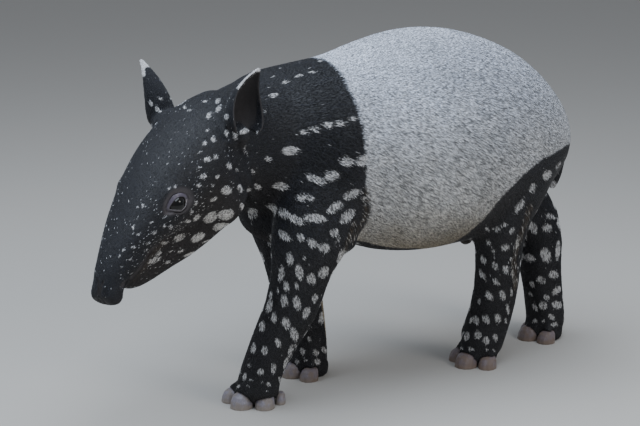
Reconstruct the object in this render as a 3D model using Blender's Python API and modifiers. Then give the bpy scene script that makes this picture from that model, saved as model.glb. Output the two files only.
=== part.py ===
# Young malayan tapir, walking with its head lowered and turned to its left.
# Metres. The animal faces -X, its left side is -Y, +Z is up and the floor is z = 0.
import bpy
import bmesh
import math
from mathutils import Vector, Matrix

# Driving dimensions
GAP = 0.0003            # clearance between neighbouring nodes
VOXEL = 0.0055          # cell of the remesh that blends the masses of flesh
BLEND_STEPS = 6         # smoothing passes after the remesh
BODY_TRIANGLES = 3700   # triangles kept behind the face
HEAD_TRIANGLES = 2300   # triangles kept on the face
HEAD_EDGE = 0.040       # how far forward in the head its finer mesh begins
RING_POINTS = 32        # points round one section of a body mass
HEAD_ORIGIN = Vector((-0.229, -0.086, 0.455))   # middle of the neck joint
HEAD_YAW = math.radians(27.0)                   # turned to its left
HEAD_PITCH = math.radians(46.0)                 # lowered
SMOOTH_ANGLE = math.radians(40.0)               # sharper edges stay sharp in shading
EYE_RADIUS = 0.0170
EYE_CENTRE = (0.153, 0.0443, 0.0673)             # forward, sideways, up in the head
LID_THICKNESS = 0.0026
EAR_LENGTH = 0.098
EAR_SHEET = 0.0036
EAR_CURL, EAR_UNCURL = 118, 66                  # degrees of the cup at its foot, and lost by the tip
EAR_BOW = 0.010                                 # how far the middle of the ear bows

# Materials: name, base colour, roughness
PALETTE = {
    "black_coat": ((0.012, 0.012, 0.016, 1.0), 0.7),
    "saddle_coat": ((0.34, 0.33, 0.32, 1.0), 0.8),
    "hoof_horn": ((0.16, 0.13, 0.13, 1.0), 0.45),
    "eye_surface": ((0.012, 0.008, 0.007, 1.0), 0.08),
}

for old in list(bpy.data.objects):
    bpy.data.objects.remove(old)

animal = bpy.data.collections.new("malayan_tapir_calf")
shapers = bpy.data.collections.new("cutters")
scratch = bpy.data.collections.new("masses")
for holder in (animal, shapers, scratch):
    bpy.context.scene.collection.children.link(holder)

materials = {}
for slot, (colour, roughness) in PALETTE.items():
    made = bpy.data.materials.new(slot)
    made.use_nodes = True
    shader = made.node_tree.nodes["Principled BSDF"]
    shader.inputs["Base Color"].default_value = colour
    shader.inputs["Roughness"].default_value = roughness
    materials[slot] = made


# Basic solids
def body_of(name, points, faces, home):
    """Closed body from points and faces, its faces turned outward."""
    mesh = bpy.data.meshes.new(name)
    mesh.from_pydata([tuple(p) for p in points], [], faces)
    work = bmesh.new()
    work.from_mesh(mesh)
    bmesh.ops.recalc_face_normals(work, faces=work.faces)
    if work.calc_volume(signed=True) < 0:
        bmesh.ops.reverse_faces(work, faces=work.faces)
    work.to_mesh(mesh)
    work.free()
    result = bpy.data.objects.new(name, mesh)
    home.objects.link(result)
    return result


def tube(name, rings, home):
    """Closed body over a row of rings that all have the same number of points."""
    count = len(rings[0])
    points = [p for ring in rings for p in ring]
    faces = []
    for k in range(len(rings) - 1):
        for i in range(count):
            j = (i + 1) % count
            faces.append((k * count + i, k * count + j,
                          (k + 1) * count + j, (k + 1) * count + i))
    for ring, first in ((rings[0], 0), (rings[-1], (len(rings) - 1) * count)):
        hub = len(points)
        points.append(sum((Vector(p) for p in ring), Vector()) / count)
        for i in range(count):
            faces.append((first + i, first + (i + 1) % count, hub))
    return body_of(name, points, faces, home)


def section(centre, side, up, half_side, half_up, half_down, power, count=RING_POINTS):
    """Super-ellipse with its own half height above and below the widest level."""
    ring = []
    for i in range(count):
        turn = 2.0 * math.pi * i / count
        c, s = math.cos(turn), math.sin(turn)
        across = half_side * math.copysign(abs(c) ** (2.0 / power), c)
        height = (half_up if s > 0 else half_down) * math.copysign(abs(s) ** (2.0 / power), s)
        ring.append(centre + side * across + up * height)
    return ring


def eased(rows, steps):
    """Rows of numbers with steps more rows between each two, on a smooth curve."""
    result = []
    for k in range(len(rows) - 1):
        before = rows[max(k - 1, 0)]
        after = rows[min(k + 2, len(rows) - 1)]
        for step in range(steps):
            t = step / steps
            row = []
            for a, b, c, d in zip(before, rows[k], rows[k + 1], after):
                row.append(0.5 * (2 * b + (c - a) * t + (2 * a - 5 * b + 4 * c - d) * t * t
                                  + (3 * b - a - 3 * c + d) * t ** 3))
            result.append(row)
    result.append(list(rows[-1]))
    return result


def placed(name, fill, home):
    """Object from a function that fills a bmesh with a primitive."""
    work = bmesh.new()
    fill(work)
    mesh = bpy.data.meshes.new(name)
    work.to_mesh(mesh)
    work.free()
    result = bpy.data.objects.new(name, mesh)
    home.objects.link(result)
    return result


def ball(name, centre, radii, home, frame=Matrix.Identity(4), rows=12, count=24):
    """Ellipsoid with its poles on the third axis of the frame."""
    place = frame @ Matrix.Translation(centre) @ Matrix.Diagonal((*radii, 1.0))
    return placed(name, lambda work: bmesh.ops.create_uvsphere(
        work, u_segments=count, v_segments=rows, radius=1.0, matrix=place), home)


def box(name, centre, axes, halves, home):
    """Box from its centre, its three axes and its half sizes."""
    turn = Matrix([axis * half for axis, half in zip(axes, halves)]).transposed()
    if turn.determinant() < 0:
        turn.col[0] = -turn.col[0]
    place = Matrix.Translation(centre) @ turn.to_4x4()
    return placed(name, lambda work: bmesh.ops.create_cube(work, size=2.0, matrix=place), home)


def limb(name, rows, home, count=24):
    """Limb mass over rows of x, y, z, half length fore and aft, half width."""
    path = eased(rows, 4)
    rings = []
    for k, row in enumerate(path):
        here = Vector(row[:3])
        ahead = Vector(path[min(k + 1, len(path) - 1)][:3])
        behind = Vector(path[max(k - 1, 0)][:3])
        along = (ahead - behind).normalized()
        fore = Vector((-1, 0, 0))
        fore = (fore - along * fore.dot(along)).normalized()
        side = along.cross(fore).normalized()
        rings.append(section(here, side, fore, row[4], row[3], row[3], 2.1, count))
    return tube(name, rings, home)


def baked(thing):
    """Replace the mesh by its modified one and drop the modifiers."""
    graph = bpy.context.evaluated_depsgraph_get()
    mesh = bpy.data.meshes.new_from_object(thing.evaluated_get(graph))
    thing.modifiers.clear()
    thing.data = mesh


def boolean(thing, other, operation, solver="EXACT"):
    """Apply one Boolean of an object or a collection to the thing."""
    step = thing.modifiers.new(operation.lower(), "BOOLEAN")
    step.operation = operation
    step.solver = solver
    if isinstance(other, bpy.types.Collection):
        step.operand_type = "COLLECTION"
        step.collection = other
    else:
        step.object = other
    baked(thing)


def group(name):
    """Collection for one set of cutters."""
    made = bpy.data.collections.new(name)
    shapers.children.link(made)
    return made


# Head frame: forward along the nose, sideways to its left, up out of the forehead
forward = Vector((-math.cos(HEAD_YAW) * math.cos(HEAD_PITCH),
                  -math.sin(HEAD_YAW) * math.cos(HEAD_PITCH), -math.sin(HEAD_PITCH)))
leftward = Vector((math.sin(HEAD_YAW), -math.cos(HEAD_YAW), 0.0))
upward = forward.cross(leftward)
HEAD = Matrix.Translation(HEAD_ORIGIN) @ Matrix((forward, leftward, upward)).transposed().to_4x4()


def in_head(u, v, w):
    """Point of the head frame in the room."""
    return HEAD @ Vector((u, v, w))


def head_mass(name, rows, home):
    """Mass of the head over rows of forward, top, bottom, half width, power."""
    rings = []
    for u, top, bottom, half, power in eased(rows, 4):
        level = bottom + 0.5 * (top - bottom)
        rings.append(section(in_head(u, 0, level), leftward, upward,
                             half, top - level, level - bottom, power))
    return tube(name, rings, home)


# Trunk: x, top, widest level, bottom, half width, power
TRUNK = [
    (-0.155, 0.528, 0.44, 0.385, 0.055, 2.0),
    (-0.130, 0.540, 0.43, 0.348, 0.090, 2.1),
    (-0.090, 0.549, 0.42, 0.306, 0.122, 2.1),
    (-0.030, 0.555, 0.41, 0.262, 0.150, 2.2),
    (0.030, 0.564, 0.40, 0.250, 0.162, 2.2),
    (0.090, 0.582, 0.40, 0.231, 0.170, 2.2),
    (0.160, 0.597, 0.40, 0.223, 0.176, 2.2),
    (0.230, 0.596, 0.40, 0.227, 0.176, 2.2),
    (0.290, 0.582, 0.40, 0.238, 0.170, 2.2),
    (0.350, 0.556, 0.39, 0.266, 0.154, 2.2),
    (0.400, 0.520, 0.39, 0.312, 0.130, 2.1),
    (0.438, 0.479, 0.395, 0.352, 0.094, 2.1),
    (0.460, 0.446, 0.402, 0.380, 0.058, 2.0),
    (0.470, 0.424, 0.405, 0.390, 0.030, 2.0),
]
rings = []
for x, top, level, bottom, half, power in eased(TRUNK, 4):
    rings.append(section(Vector((x, 0, level)), Vector((0, -1, 0)), Vector((0, 0, 1)),
                         half, top - level, level - bottom, power, 40))
tube("trunk_mass", rings, scratch)
ball("sheath_mass", (0.284, -0.004, 0.2265), (0.020, 0.013, 0.016), scratch)

# Neck: centre, half width, half height above and below
NECK = [
    (-0.020, 0.000, 0.420, 0.125, 0.130, 0.150),
    (-0.100, -0.012, 0.432, 0.108, 0.113, 0.120),
    (-0.170, -0.040, 0.438, 0.090, 0.094, 0.098),
    (-0.225, -0.078, 0.438, 0.078, 0.078, 0.080),
    (-0.255, -0.100, 0.430, 0.070, 0.064, 0.070),
]
neck_path = eased(NECK, 4)
rings = []
for k, row in enumerate(neck_path):
    ahead = Vector(neck_path[min(k + 1, len(neck_path) - 1)][:3])
    behind = Vector(neck_path[max(k - 1, 0)][:3])
    along = (ahead - behind).normalized()
    side = Vector((0, 0, 1)).cross(along).normalized()
    rings.append(section(Vector(row[:3]), side, along.cross(side),
                         row[3], row[4], row[5], 2.1))
tube("neck_mass", rings, scratch)

# Head without the lower jaw, then the jaw
SKULL = [
    (-0.070, 0.048, -0.076, 0.056, 2.1),
    (-0.030, 0.074, -0.080, 0.070, 2.2),
    (0.020, 0.096, -0.076, 0.076, 2.3),
    (0.060, 0.108, -0.068, 0.077, 2.3),
    (0.100, 0.114, -0.052, 0.073, 2.3),
    (0.140, 0.115, -0.016, 0.064, 2.3),
    (0.180, 0.112, 0.018, 0.053, 2.3),
    (0.215, 0.107, 0.042, 0.044, 2.3),
    (0.245, 0.102, 0.050, 0.036, 2.3),
    (0.270, 0.097, 0.051, 0.030, 2.3),
    (0.290, 0.092, 0.046, 0.027, 2.3),
    (0.308, 0.084, 0.042, 0.024, 2.2),
    (0.320, 0.077, 0.041, 0.021, 2.1),
    (0.327, 0.070, 0.045, 0.015, 2.0),
]
JAW = [
    (0.020, 0.010, -0.078, 0.040, 2.1),
    (0.060, 0.010, -0.083, 0.056, 2.2),
    (0.100, 0.012, -0.080, 0.056, 2.2),
    (0.140, 0.022, -0.067, 0.048, 2.2),
    (0.180, 0.038, -0.049, 0.039, 2.2),
    (0.210, 0.048, -0.030, 0.033, 2.2),
    (0.240, 0.053, -0.011, 0.028, 2.2),
    (0.265, 0.054, 0.006, 0.024, 2.2),
    (0.281, 0.053, 0.020, 0.018, 2.1),
    (0.288, 0.050, 0.030, 0.012, 2.0),
]
head_mass("skull_mass", SKULL, scratch)
head_mass("jaw_mass", JAW, scratch)
for side in (1, -1):
    ball("cheek_mass", (0.080, side * 0.045, -0.020), (0.052, 0.032, 0.046), scratch, HEAD)
    ball("brow_mass", (0.148, side * 0.041, 0.080), (0.024, 0.018, 0.020), scratch, HEAD)
    ball("lip_mass", (0.245, side * 0.022, 0.066), (0.036, 0.015, 0.015), scratch, HEAD)
    ball("tip_mass", (0.314, side * 0.014, 0.058), (0.016, 0.014, 0.017), scratch, HEAD)

# Ears in the head frame: root, axis and opening. The right one is swivelled back and down
EARS = {
    1: (Vector((0.000, 0.072, 0.050)), Vector((-0.765, 0.338, 0.549)), Vector((0.35, 0.90, -0.10))),
    -1: (Vector((0.000, -0.067, 0.060)), Vector((-0.675, -0.562, 0.478)), Vector((0.05, -0.69, -0.72))),
}
# Half width of the sheet, how far it swells and its taper, below one for a round tip
EAR_WIDTHS = {1: (0.0250, 0.55, 0.46), -1: (0.0218, 0.11, 0.67)}
EAR_BASE = Vector((0.008, 0.010, -0.004))   # pad that closes the foot of the cup, from the root


def ear_frame(side):
    """Root, axis, opening and width directions of one ear in the room."""
    place, axis, opening = EARS[side]
    axis = axis.normalized()
    opening = (opening - axis * opening.dot(axis)).normalized()
    turn = HEAD.to_3x3()
    return in_head(*place), turn @ axis, turn @ opening, turn @ axis.cross(opening)


def ear(name, side, home):
    """Cupped sheet of an ear: an open surface that Solidify gives its thickness."""
    root, axis, opening, width = ear_frame(side)
    widest, swell, taper = EAR_WIDTHS[side]
    lengths, across = 10, 8
    points, faces = [], []
    for k in range(lengths + 1):
        reach = (k / lengths) ** 0.9
        half = widest * (1 + swell * math.sin(math.pi * reach ** 0.75)) * (1 - reach) ** taper
        half = max(half, 0.003)
        spread = math.radians(EAR_CURL - EAR_UNCURL * reach)
        radius = half / math.sin(min(spread, math.radians(90)))
        for i in range(across + 1):
            share = 2 * i / across - 1
            lift = EAR_LENGTH * reach * (1 - 0.06 * share ** 2)
            back = EAR_BOW * math.sin(math.pi * reach) - 0.45 * radius
            points.append(root + axis * lift - opening * back
                          + width * (radius * math.sin(spread * share))
                          - opening * (radius * math.cos(spread * share)))
    row = across + 1
    for k in range(lengths):
        for i in range(across):
            faces.append((k * row + i, (k + 1) * row + i, (k + 1) * row + i + 1, k * row + i + 1))
    mesh = bpy.data.meshes.new(name)
    mesh.from_pydata(points, [], faces)
    result = bpy.data.objects.new(name, mesh)
    home.objects.link(result)
    wall = result.modifiers.new("wall", "SOLIDIFY")
    wall.thickness = EAR_SHEET
    wall.offset = 0.0
    baked(result)
    work = bmesh.new()
    work.from_mesh(result.data)
    bmesh.ops.recalc_face_normals(work, faces=work.faces)
    if work.calc_volume(signed=True) < 0:
        bmesh.ops.reverse_faces(work, faces=work.faces)
    work.to_mesh(result.data)
    work.free()
    return result


for side in (1, -1):
    root, axis, opening, width = ear_frame(side)
    rings = []
    for step, radius in ((-0.044, 0.026), (-0.024, 0.029), (-0.008, 0.026), (0.002, 0.019)):
        rings.append(section(root + axis * step - opening * 0.008, width, opening, radius, radius * 0.8,
                             radius * 0.8, 2.0, 20))
    tube("ear_root_mass", rings, scratch)
    pad = EARS[side][0] + Vector((EAR_BASE.x, side * EAR_BASE.y, EAR_BASE.z))
    ball("ear_base_mass", pad, (0.017, 0.013, 0.016), scratch, HEAD)

# Legs: x, y, z, half length fore and aft, half width, from the trunk to the fetlock
LEGS = {
    "left_fore": [
        (-0.025, -0.090, 0.400, 0.080, 0.050),
        (-0.055, -0.098, 0.325, 0.076, 0.052),
        (-0.075, -0.098, 0.275, 0.064, 0.050),
        (-0.083, -0.088, 0.225, 0.050, 0.044),
        (-0.093, -0.076, 0.170, 0.045, 0.041),
        (-0.116, -0.062, 0.114, 0.038, 0.037),
        (-0.132, -0.050, 0.066, 0.034, 0.036),
        (-0.137, -0.042, 0.036, 0.034, 0.038),
    ],
    "right_fore": [
        (0.000, 0.092, 0.400, 0.080, 0.050),
        (-0.015, 0.102, 0.325, 0.074, 0.052),
        (-0.021, 0.100, 0.270, 0.060, 0.048),
        (-0.013, 0.091, 0.215, 0.048, 0.043),
        (-0.003, 0.080, 0.150, 0.044, 0.041),
        (0.007, 0.075, 0.105, 0.037, 0.037),
        (0.012, 0.071, 0.064, 0.034, 0.036),
        (0.012, 0.069, 0.036, 0.034, 0.038),
    ],
    "left_hind": [
        (0.336, -0.082, 0.410, 0.082, 0.058),
        (0.313, -0.098, 0.345, 0.070, 0.058),
        (0.298, -0.096, 0.285, 0.052, 0.050),
        (0.301, -0.084, 0.240, 0.043, 0.044),
        (0.308, -0.071, 0.190, 0.039, 0.041),
        (0.316, -0.053, 0.140, 0.038, 0.039),
        (0.318, -0.034, 0.090, 0.038, 0.038),
        (0.310, -0.020, 0.040, 0.038, 0.040),
    ],
    "right_hind": [
        (0.360, 0.080, 0.410, 0.089, 0.058),
        (0.375, 0.098, 0.345, 0.086, 0.056),
        (0.413, 0.096, 0.285, 0.065, 0.048),
        (0.468, 0.088, 0.240, 0.057, 0.041),
        (0.497, 0.080, 0.190, 0.043, 0.040),
        (0.495, 0.072, 0.140, 0.040, 0.038),
        (0.498, 0.065, 0.092, 0.036, 0.036),
        (0.502, 0.060, 0.040, 0.034, 0.038),
    ],
}
for name, rows in LEGS.items():
    limb(name + "_mass", rows, scratch)
ball("right_hock_mass", (0.519, 0.084, 0.222), (0.020, 0.022, 0.024), scratch)
ball("left_hock_mass", (0.334, -0.068, 0.204), (0.018, 0.022, 0.028), scratch)
ball("left_elbow_mass", (-0.014, -0.104, 0.284), (0.026, 0.028, 0.030), scratch)
ball("right_elbow_mass", (0.026, 0.102, 0.290), (0.026, 0.028, 0.030), scratch)
ball("brisket_mass", (-0.060, 0.000, 0.310), (0.085, 0.090, 0.055), scratch)

# Feet: middle of the foot on the floor and the turn of its toes, outward is positive
FEET = {
    "left_fore": (-0.139, -0.029, 30.0),
    "right_fore": (0.012, 0.069, 3.0),
    "left_hind": (0.302, -0.018, 18.0),
    "right_hind": (0.494, 0.058, 6.0),
}
# Toes: forward, outward, half length, half width, height, turn outward in degrees
FORE_TOES = {
    "second_toe": (0.012, -0.0352, 0.0185, 0.0157, 0.022, -16),
    "third_toe": (0.028, -0.0038, 0.0220, 0.0190, 0.025, -2),
    "fourth_toe": (0.012, 0.0302, 0.0195, 0.0162, 0.023, 14),
    "fifth_toe": (-0.020, 0.0390, 0.0120, 0.0090, 0.020, 28),
}
HIND_TOES = {
    "second_toe": (0.008, -0.0325, 0.0190, 0.0160, 0.022, -14),
    "third_toe": (0.026, 0.0000, 0.0225, 0.0200, 0.025, 0),
    "fourth_toe": (0.008, 0.0325, 0.0190, 0.0160, 0.022, 14),
}


def foot_frame(name):
    """Middle, forward and outward directions of one foot."""
    x, y, turn = FEET[name]
    outward_sign = -1.0 if name.startswith("left") else 1.0
    angle = math.radians(turn)
    ahead = Vector((-math.cos(angle), outward_sign * math.sin(angle), 0))
    outward = Vector((math.sin(angle), outward_sign * math.cos(angle), 0))
    return Vector((x, y, 0)), ahead, outward


def toes_of(name):
    """Toe table that belongs to one foot."""
    return FORE_TOES if name.endswith("fore") else HIND_TOES


def toe_frame(name, toe):
    """Middle on the floor, forward and outward directions of one toe."""
    middle, ahead, outward = foot_frame(name)
    fore, out, _, _, _, turn = toes_of(name)[toe]
    angle = math.radians(turn)
    toe_ahead = ahead * math.cos(angle) + outward * math.sin(angle)
    toe_out = outward * math.cos(angle) - ahead * math.sin(angle)
    return middle + ahead * fore + outward * out, toe_ahead, toe_out


# Hoof from its sole to its top: share of the height, size, set back
HOOF_SHAPE = ((0.0, 1.00, 0.00), (0.42, 0.97, 0.05), (0.76, 0.86, 0.15), (0.94, 0.64, 0.27),
              (1.0, 0.34, 0.34))
HOOF_HEEL = 0.72        # the heel's reach against the toe's


def hoof(title, name, toe, grow, home):
    """Hoof with a flat sole, its front wall sloping back to a rounded top."""
    _, _, length, width, height, _ = toes_of(name)[toe]
    centre, ahead, out = toe_frame(name, toe)
    rings = []
    low = -0.004 if grow else 0.0
    for share, size, back in HOOF_SHAPE:
        level = low if share == 0.0 else height * share + grow
        ring = []
        for i in range(11):
            turn = 2.0 * math.pi * i / 11
            c, s = math.cos(turn), math.sin(turn)
            reach = math.copysign(abs(c) ** 0.9, c) * (length * size + grow)
            if c < 0:
                reach *= HOOF_HEEL
            sideways = math.copysign(abs(s) ** 0.9, s) * (width * size + grow)
            ring.append(centre + ahead * (reach - back * length) + out * sideways
                        + Vector((0, 0, level)))
        rings.append(ring)
    return tube(title, rings, home)


# Toe flesh from its tip to the ankle: share of the way, width against the hoof
TOE_SHAPE = ((-0.06, 0.55), (0.04, 0.93), (0.20, 1.08), (0.45, 1.12), (0.75, 1.12), (1.0, 1.12))
for name, rows in LEGS.items():
    middle, ahead, outward = foot_frame(name)
    ankle = Vector(rows[-1][:3])
    for toe in toes_of(name):
        _, _, length, width, height, _ = toes_of(name)[toe]
        centre, toe_ahead, toe_out = toe_frame(name, toe)
        rings = []
        for share, size in TOE_SHAPE:
            tip = centre + toe_ahead * (0.22 * length) + Vector((0, 0, 0.60 * height))
            here = tip.lerp(ankle + outward * (0.3 * toes_of(name)[toe][1]), share)
            rings.append(section(here, toe_out, Vector((0, 0, 1)), width * size,
                                 width * size, width * size, 2.0, 16))
        tube("toe_mass", rings, scratch)
    pad = middle - ahead * 0.006
    ball("pad_mass", (pad.x, pad.y, 0.014), (0.031, 0.037, 0.030), scratch)
    ball("heel_mass", (ankle.x, ankle.y, 0.034), (0.035, 0.038, 0.028), scratch)

# Tail
TAIL = [
    (0.430, 0.000, 0.402, 0.024, 0.030),
    (0.458, -0.001, 0.388, 0.019, 0.023),
    (0.473, -0.003, 0.358, 0.014, 0.018),
    (0.469, -0.005, 0.324, 0.012, 0.014),
    (0.460, -0.006, 0.294, 0.007, 0.010),
]
limb("tail_mass", TAIL, scratch, 16)

# One flesh: join the masses, blend them, thin the mesh
flesh = bpy.data.objects.new("flesh", bpy.data.meshes.new("flesh"))
scratch.objects.link(flesh)
work = bmesh.new()
for mass in [m for m in scratch.objects if m is not flesh]:
    work.from_mesh(mass.data)
    bpy.data.objects.remove(mass)
work.to_mesh(flesh.data)
work.free()
blend = flesh.modifiers.new("blend", "REMESH")
blend.mode = "VOXEL"
blend.voxel_size = VOXEL
ease = flesh.modifiers.new("ease", "SMOOTH")
ease.factor = 0.5
ease.iterations = BLEND_STEPS
baked(flesh)
to_head = HEAD.inverted()


def thinned(thing, wanted, in_front):
    """Thin the triangles of the head or of the rest to the wanted number."""
    marked = [(to_head @ v.co).x > HEAD_EDGE for v in thing.data.vertices]
    triangles, within = 0, 0
    for face in thing.data.polygons:
        count = face.loop_total - 2
        triangles += count
        if all(marked[i] == in_front for i in face.vertices):
            within += count
    heed = thing.vertex_groups.new(name="thinned")
    heed.add([i for i, m in enumerate(marked) if m == in_front], 1.0, "REPLACE")
    step = thing.modifiers.new("thin", "DECIMATE")
    step.ratio = (triangles - within + wanted) / triangles
    step.vertex_group = "thinned"
    step.use_collapse_triangulate = True
    baked(thing)
    thing.vertex_groups.clear()


thinned(flesh, BODY_TRIANGLES, False)
thinned(flesh, HEAD_TRIANGLES, True)
print("flesh triangles", len(flesh.data.polygons),
      "on the head", len([f for f in flesh.data.polygons if (HEAD.inverted() @ f.center).x > 0.06]))

# Ears end at the head: what they share with the flesh grown by the gap is cut off
grown = bpy.data.objects.new("grown_flesh", flesh.data.copy())
group("ear_cutter").objects.link(grown)
swell = grown.modifiers.new("swell", "DISPLACE")
swell.strength = GAP
swell.mid_level = 0.0
baked(grown)
for side, title in ((1, "left_ear"), (-1, "right_ear")):
    made = ear(title, side, animal)
    boolean(made, grown, "DIFFERENCE")
    made.data.materials.clear()
    made.data.materials.append(materials["black_coat"])

# The lids are added to the flesh before the cuts
additions = group("additions")
for side in (1, -1):
    ball("lid_ball", (EYE_CENTRE[0], side * EYE_CENTRE[1], EYE_CENTRE[2]),
         [EYE_RADIUS + LID_THICKNESS] * 3, additions, HEAD, 12, 20)
boolean(flesh, additions, "UNION")
print("with ears and lids", len(flesh.data.polygons))

# Openings: eye sockets and lid slits, nostrils, mouth
openings = group("openings")
EYE_TURN = Vector((0.22, 0.91, 0.36)).normalized()    # where the left eye looks
EYE_SLANT = Vector((0.875, -0.345, 0.337))             # line between the eye corners
EYE_HALF_WIDTH = 0.0165
EYE_HALF_HEIGHT = 0.0096


def eye_frame(side):
    """Centre, look, corner line and upright of one eye in the room."""
    turn = HEAD.to_3x3()
    look = Vector((EYE_TURN.x, side * EYE_TURN.y, EYE_TURN.z))
    line = Vector((EYE_SLANT.x, side * EYE_SLANT.y, EYE_SLANT.z))
    line = (line - look * line.dot(look)).normalized()
    centre = in_head(EYE_CENTRE[0], side * EYE_CENTRE[1], EYE_CENTRE[2])
    return centre, turn @ look, turn @ line, turn @ look.cross(line)


for side in (1, -1):
    centre, look, line, upright = eye_frame(side)
    ball("socket", (EYE_CENTRE[0], side * EYE_CENTRE[1], EYE_CENTRE[2]),
         [EYE_RADIUS + GAP] * 3, openings, HEAD, 10, 18)
    rings = []
    for depth, size in ((0.006, 0.8), (0.010, 0.92), (0.030, 1.25)):
        ring = []
        for i in range(24):
            turn = 2.0 * math.pi * i / 24
            c, s = math.cos(turn), math.sin(turn)
            ring.append(centre + look * depth + line * (EYE_HALF_WIDTH * size * c)
                        + upright * (EYE_HALF_HEIGHT * size * math.copysign(abs(s) ** 1.15, s)))
        rings.append(ring)
    tube("lid_slit", rings, openings)
    nostril = []
    for u, w, radius in ((0.345, 0.050, 0.0040), (0.334, 0.052, 0.0042), (0.326, 0.055, 0.0030)):
        spot = in_head(u, side * 0.0105, w)
        nostril.append(section(spot, leftward, upward, radius * 0.75, radius * 1.5,
                               radius * 1.5, 2.0, 12))
    tube("nostril", nostril, openings)

# Mouth: bent sheet, 2 mm wide at the lips and a clearance behind the corner
MOUTH_LINE = [
    (0.2915, -0.060, 0.0022), (0.2910, 0.030, 0.0022), (0.2890, 0.0505, 0.0020),
    (0.2600, 0.0520, 0.0018), (0.2350, 0.0500, 0.0012), (0.2150, 0.0460, GAP),
    (0.1500, 0.0150, GAP), (0.0900, -0.0250, GAP), (0.0600, -0.0600, GAP),
    (0.0400, -0.1300, GAP),
]


def sheet(name, line, half, home):
    """Bent sheet in the head from forward, up and thickness of each point."""
    above, below = [], []
    for k, (u, w, thickness) in enumerate(line):
        before = line[max(k - 1, 0)]
        after = line[min(k + 1, len(line) - 1)]
        along = Vector((after[0] - before[0], after[1] - before[1])).normalized()
        normal = Vector((-along.y, along.x)) * (0.5 * thickness)
        above.append((u + normal.x, w + normal.y))
        below.append((u - normal.x, w - normal.y))
    outline = bpy.data.curves.new(name, "CURVE")
    outline.dimensions = "2D"
    outline.fill_mode = "BOTH"
    outline.extrude = half
    path = outline.splines.new("POLY")
    corners = above + below[::-1]
    path.points.add(len(corners) - 1)
    for point, (u, w) in zip(path.points, corners):
        point.co = (u, w, 0.0, 1.0)
    path.use_cyclic_u = True
    flat = bpy.data.objects.new(name + "_outline", outline)
    bpy.context.scene.collection.objects.link(flat)
    bpy.context.view_layer.update()
    mesh = bpy.data.meshes.new_from_object(flat.evaluated_get(bpy.context.evaluated_depsgraph_get()))
    bpy.data.objects.remove(flat)
    work = bmesh.new()
    work.from_mesh(mesh)
    bmesh.ops.remove_doubles(work, verts=work.verts, dist=0.00001)
    bmesh.ops.triangulate(work, faces=work.faces)
    upright = Matrix(((1, 0, 0, 0), (0, 0, -1, 0), (0, 1, 0, 0), (0, 0, 0, 1)))
    bmesh.ops.transform(work, matrix=HEAD @ upright, verts=work.verts)
    bmesh.ops.recalc_face_normals(work, faces=work.faces)
    if work.calc_volume(signed=True) < 0:
        bmesh.ops.reverse_faces(work, faces=work.faces)
    work.to_mesh(mesh)
    work.free()
    made = bpy.data.objects.new(name, mesh)
    home.objects.link(made)
    return made


sheet("mouth", MOUTH_LINE, 0.110, openings)

# Hoof beds and the flat underside
for name in LEGS:
    for toe in toes_of(name):
        hoof("bed", name, toe, GAP, openings)
box("floor_cut", (0.2, 0, -0.05), (Vector((1, 0, 0)), Vector((0, 1, 0)), Vector((0, 0, 1))),
    (0.6, 0.4, 0.05), openings)


# Parting slabs: a point of the plane, its normal, half sizes across
def slab(name, centre, normal, half_a, half_b, home, lead=Vector((0, 1, 0))):
    """Thin box that parts the flesh across a limb."""
    normal = Vector(normal).normalized()
    first = (lead - normal * lead.dot(normal)).normalized()
    second = normal.cross(first)
    return box(name, centre, (first, second, normal), (half_a, half_b, 0.5 * GAP), home)


slab("proboscis_parting", in_head(0.298, 0, 0.07), forward, 0.06, 0.06, openings, leftward)
slab("neck_parting", in_head(0.005, 0, -0.01), forward * 0.894 + upward * 0.447, 0.15, 0.15,
     openings, leftward)
slab("trunk_parting", (-0.110, -0.012, 0.43), (-0.94, -0.12, 0.30), 0.20, 0.17, openings)
slab("tail_parting", (0.4620, 0, 0.360), (0.958, 0, -0.287), 0.055, 0.060, openings)
for name, rows in LEGS.items():
    knee = Vector(rows[4][:3]).lerp(Vector(rows[5][:3]), 0.25)
    along = (Vector(rows[5][:3]) - Vector(rows[4][:3])).normalized()
    slab(name + "_knee_parting", knee, along, 0.058, 0.062, openings)
    fetlock = Vector(rows[6][:3])
    along = (Vector(rows[7][:3]) - Vector(rows[6][:3])).normalized()
    slab(name + "_foot_parting", fetlock, along, 0.052, 0.052, openings)
boolean(flesh, openings, "DIFFERENCE")
print("after the cuts", len(flesh.data.polygons))


# Part the flesh into its loose pieces and name each by a point near its middle
def shells(work):
    """Index sets of the faces of each separate closed surface."""
    work.faces.ensure_lookup_table()
    work.faces.index_update()
    seen, found = set(), []
    for start in work.faces:
        if start.index in seen:
            continue
        stack, members = [start], set()
        seen.add(start.index)
        while stack:
            face = stack.pop()
            members.add(face.index)
            for edge in face.edges:
                if len(edge.link_faces) != 2:
                    continue
                for other in edge.link_faces:
                    if other.index not in seen:
                        seen.add(other.index)
                        stack.append(other)
        found.append(members)
    return found


def only(work, members):
    """Delete every face that is not among the members."""
    work.faces.ensure_lookup_table()
    spare = [f for f in work.faces if f.index not in members]
    bmesh.ops.delete(work, geom=spare, context="FACES")


def loose_pieces(mesh):
    """One bmesh for each separate closed surface of the mesh."""
    work = bmesh.new()
    work.from_mesh(mesh)
    result = []
    for members in shells(work):
        part = work.copy()
        only(part, members)
        result.append(part)
    work.free()
    return result


def tidied(work):
    """Merge doubled points, triangulate and keep the largest closed surface."""
    bmesh.ops.remove_doubles(work, verts=work.verts, dist=0.00001)
    bmesh.ops.triangulate(work, faces=work.faces)
    bmesh.ops.dissolve_degenerate(work, edges=work.edges, dist=0.00001)
    found = shells(work)
    if len(found) > 1:
        only(work, max(found, key=len))


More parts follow.
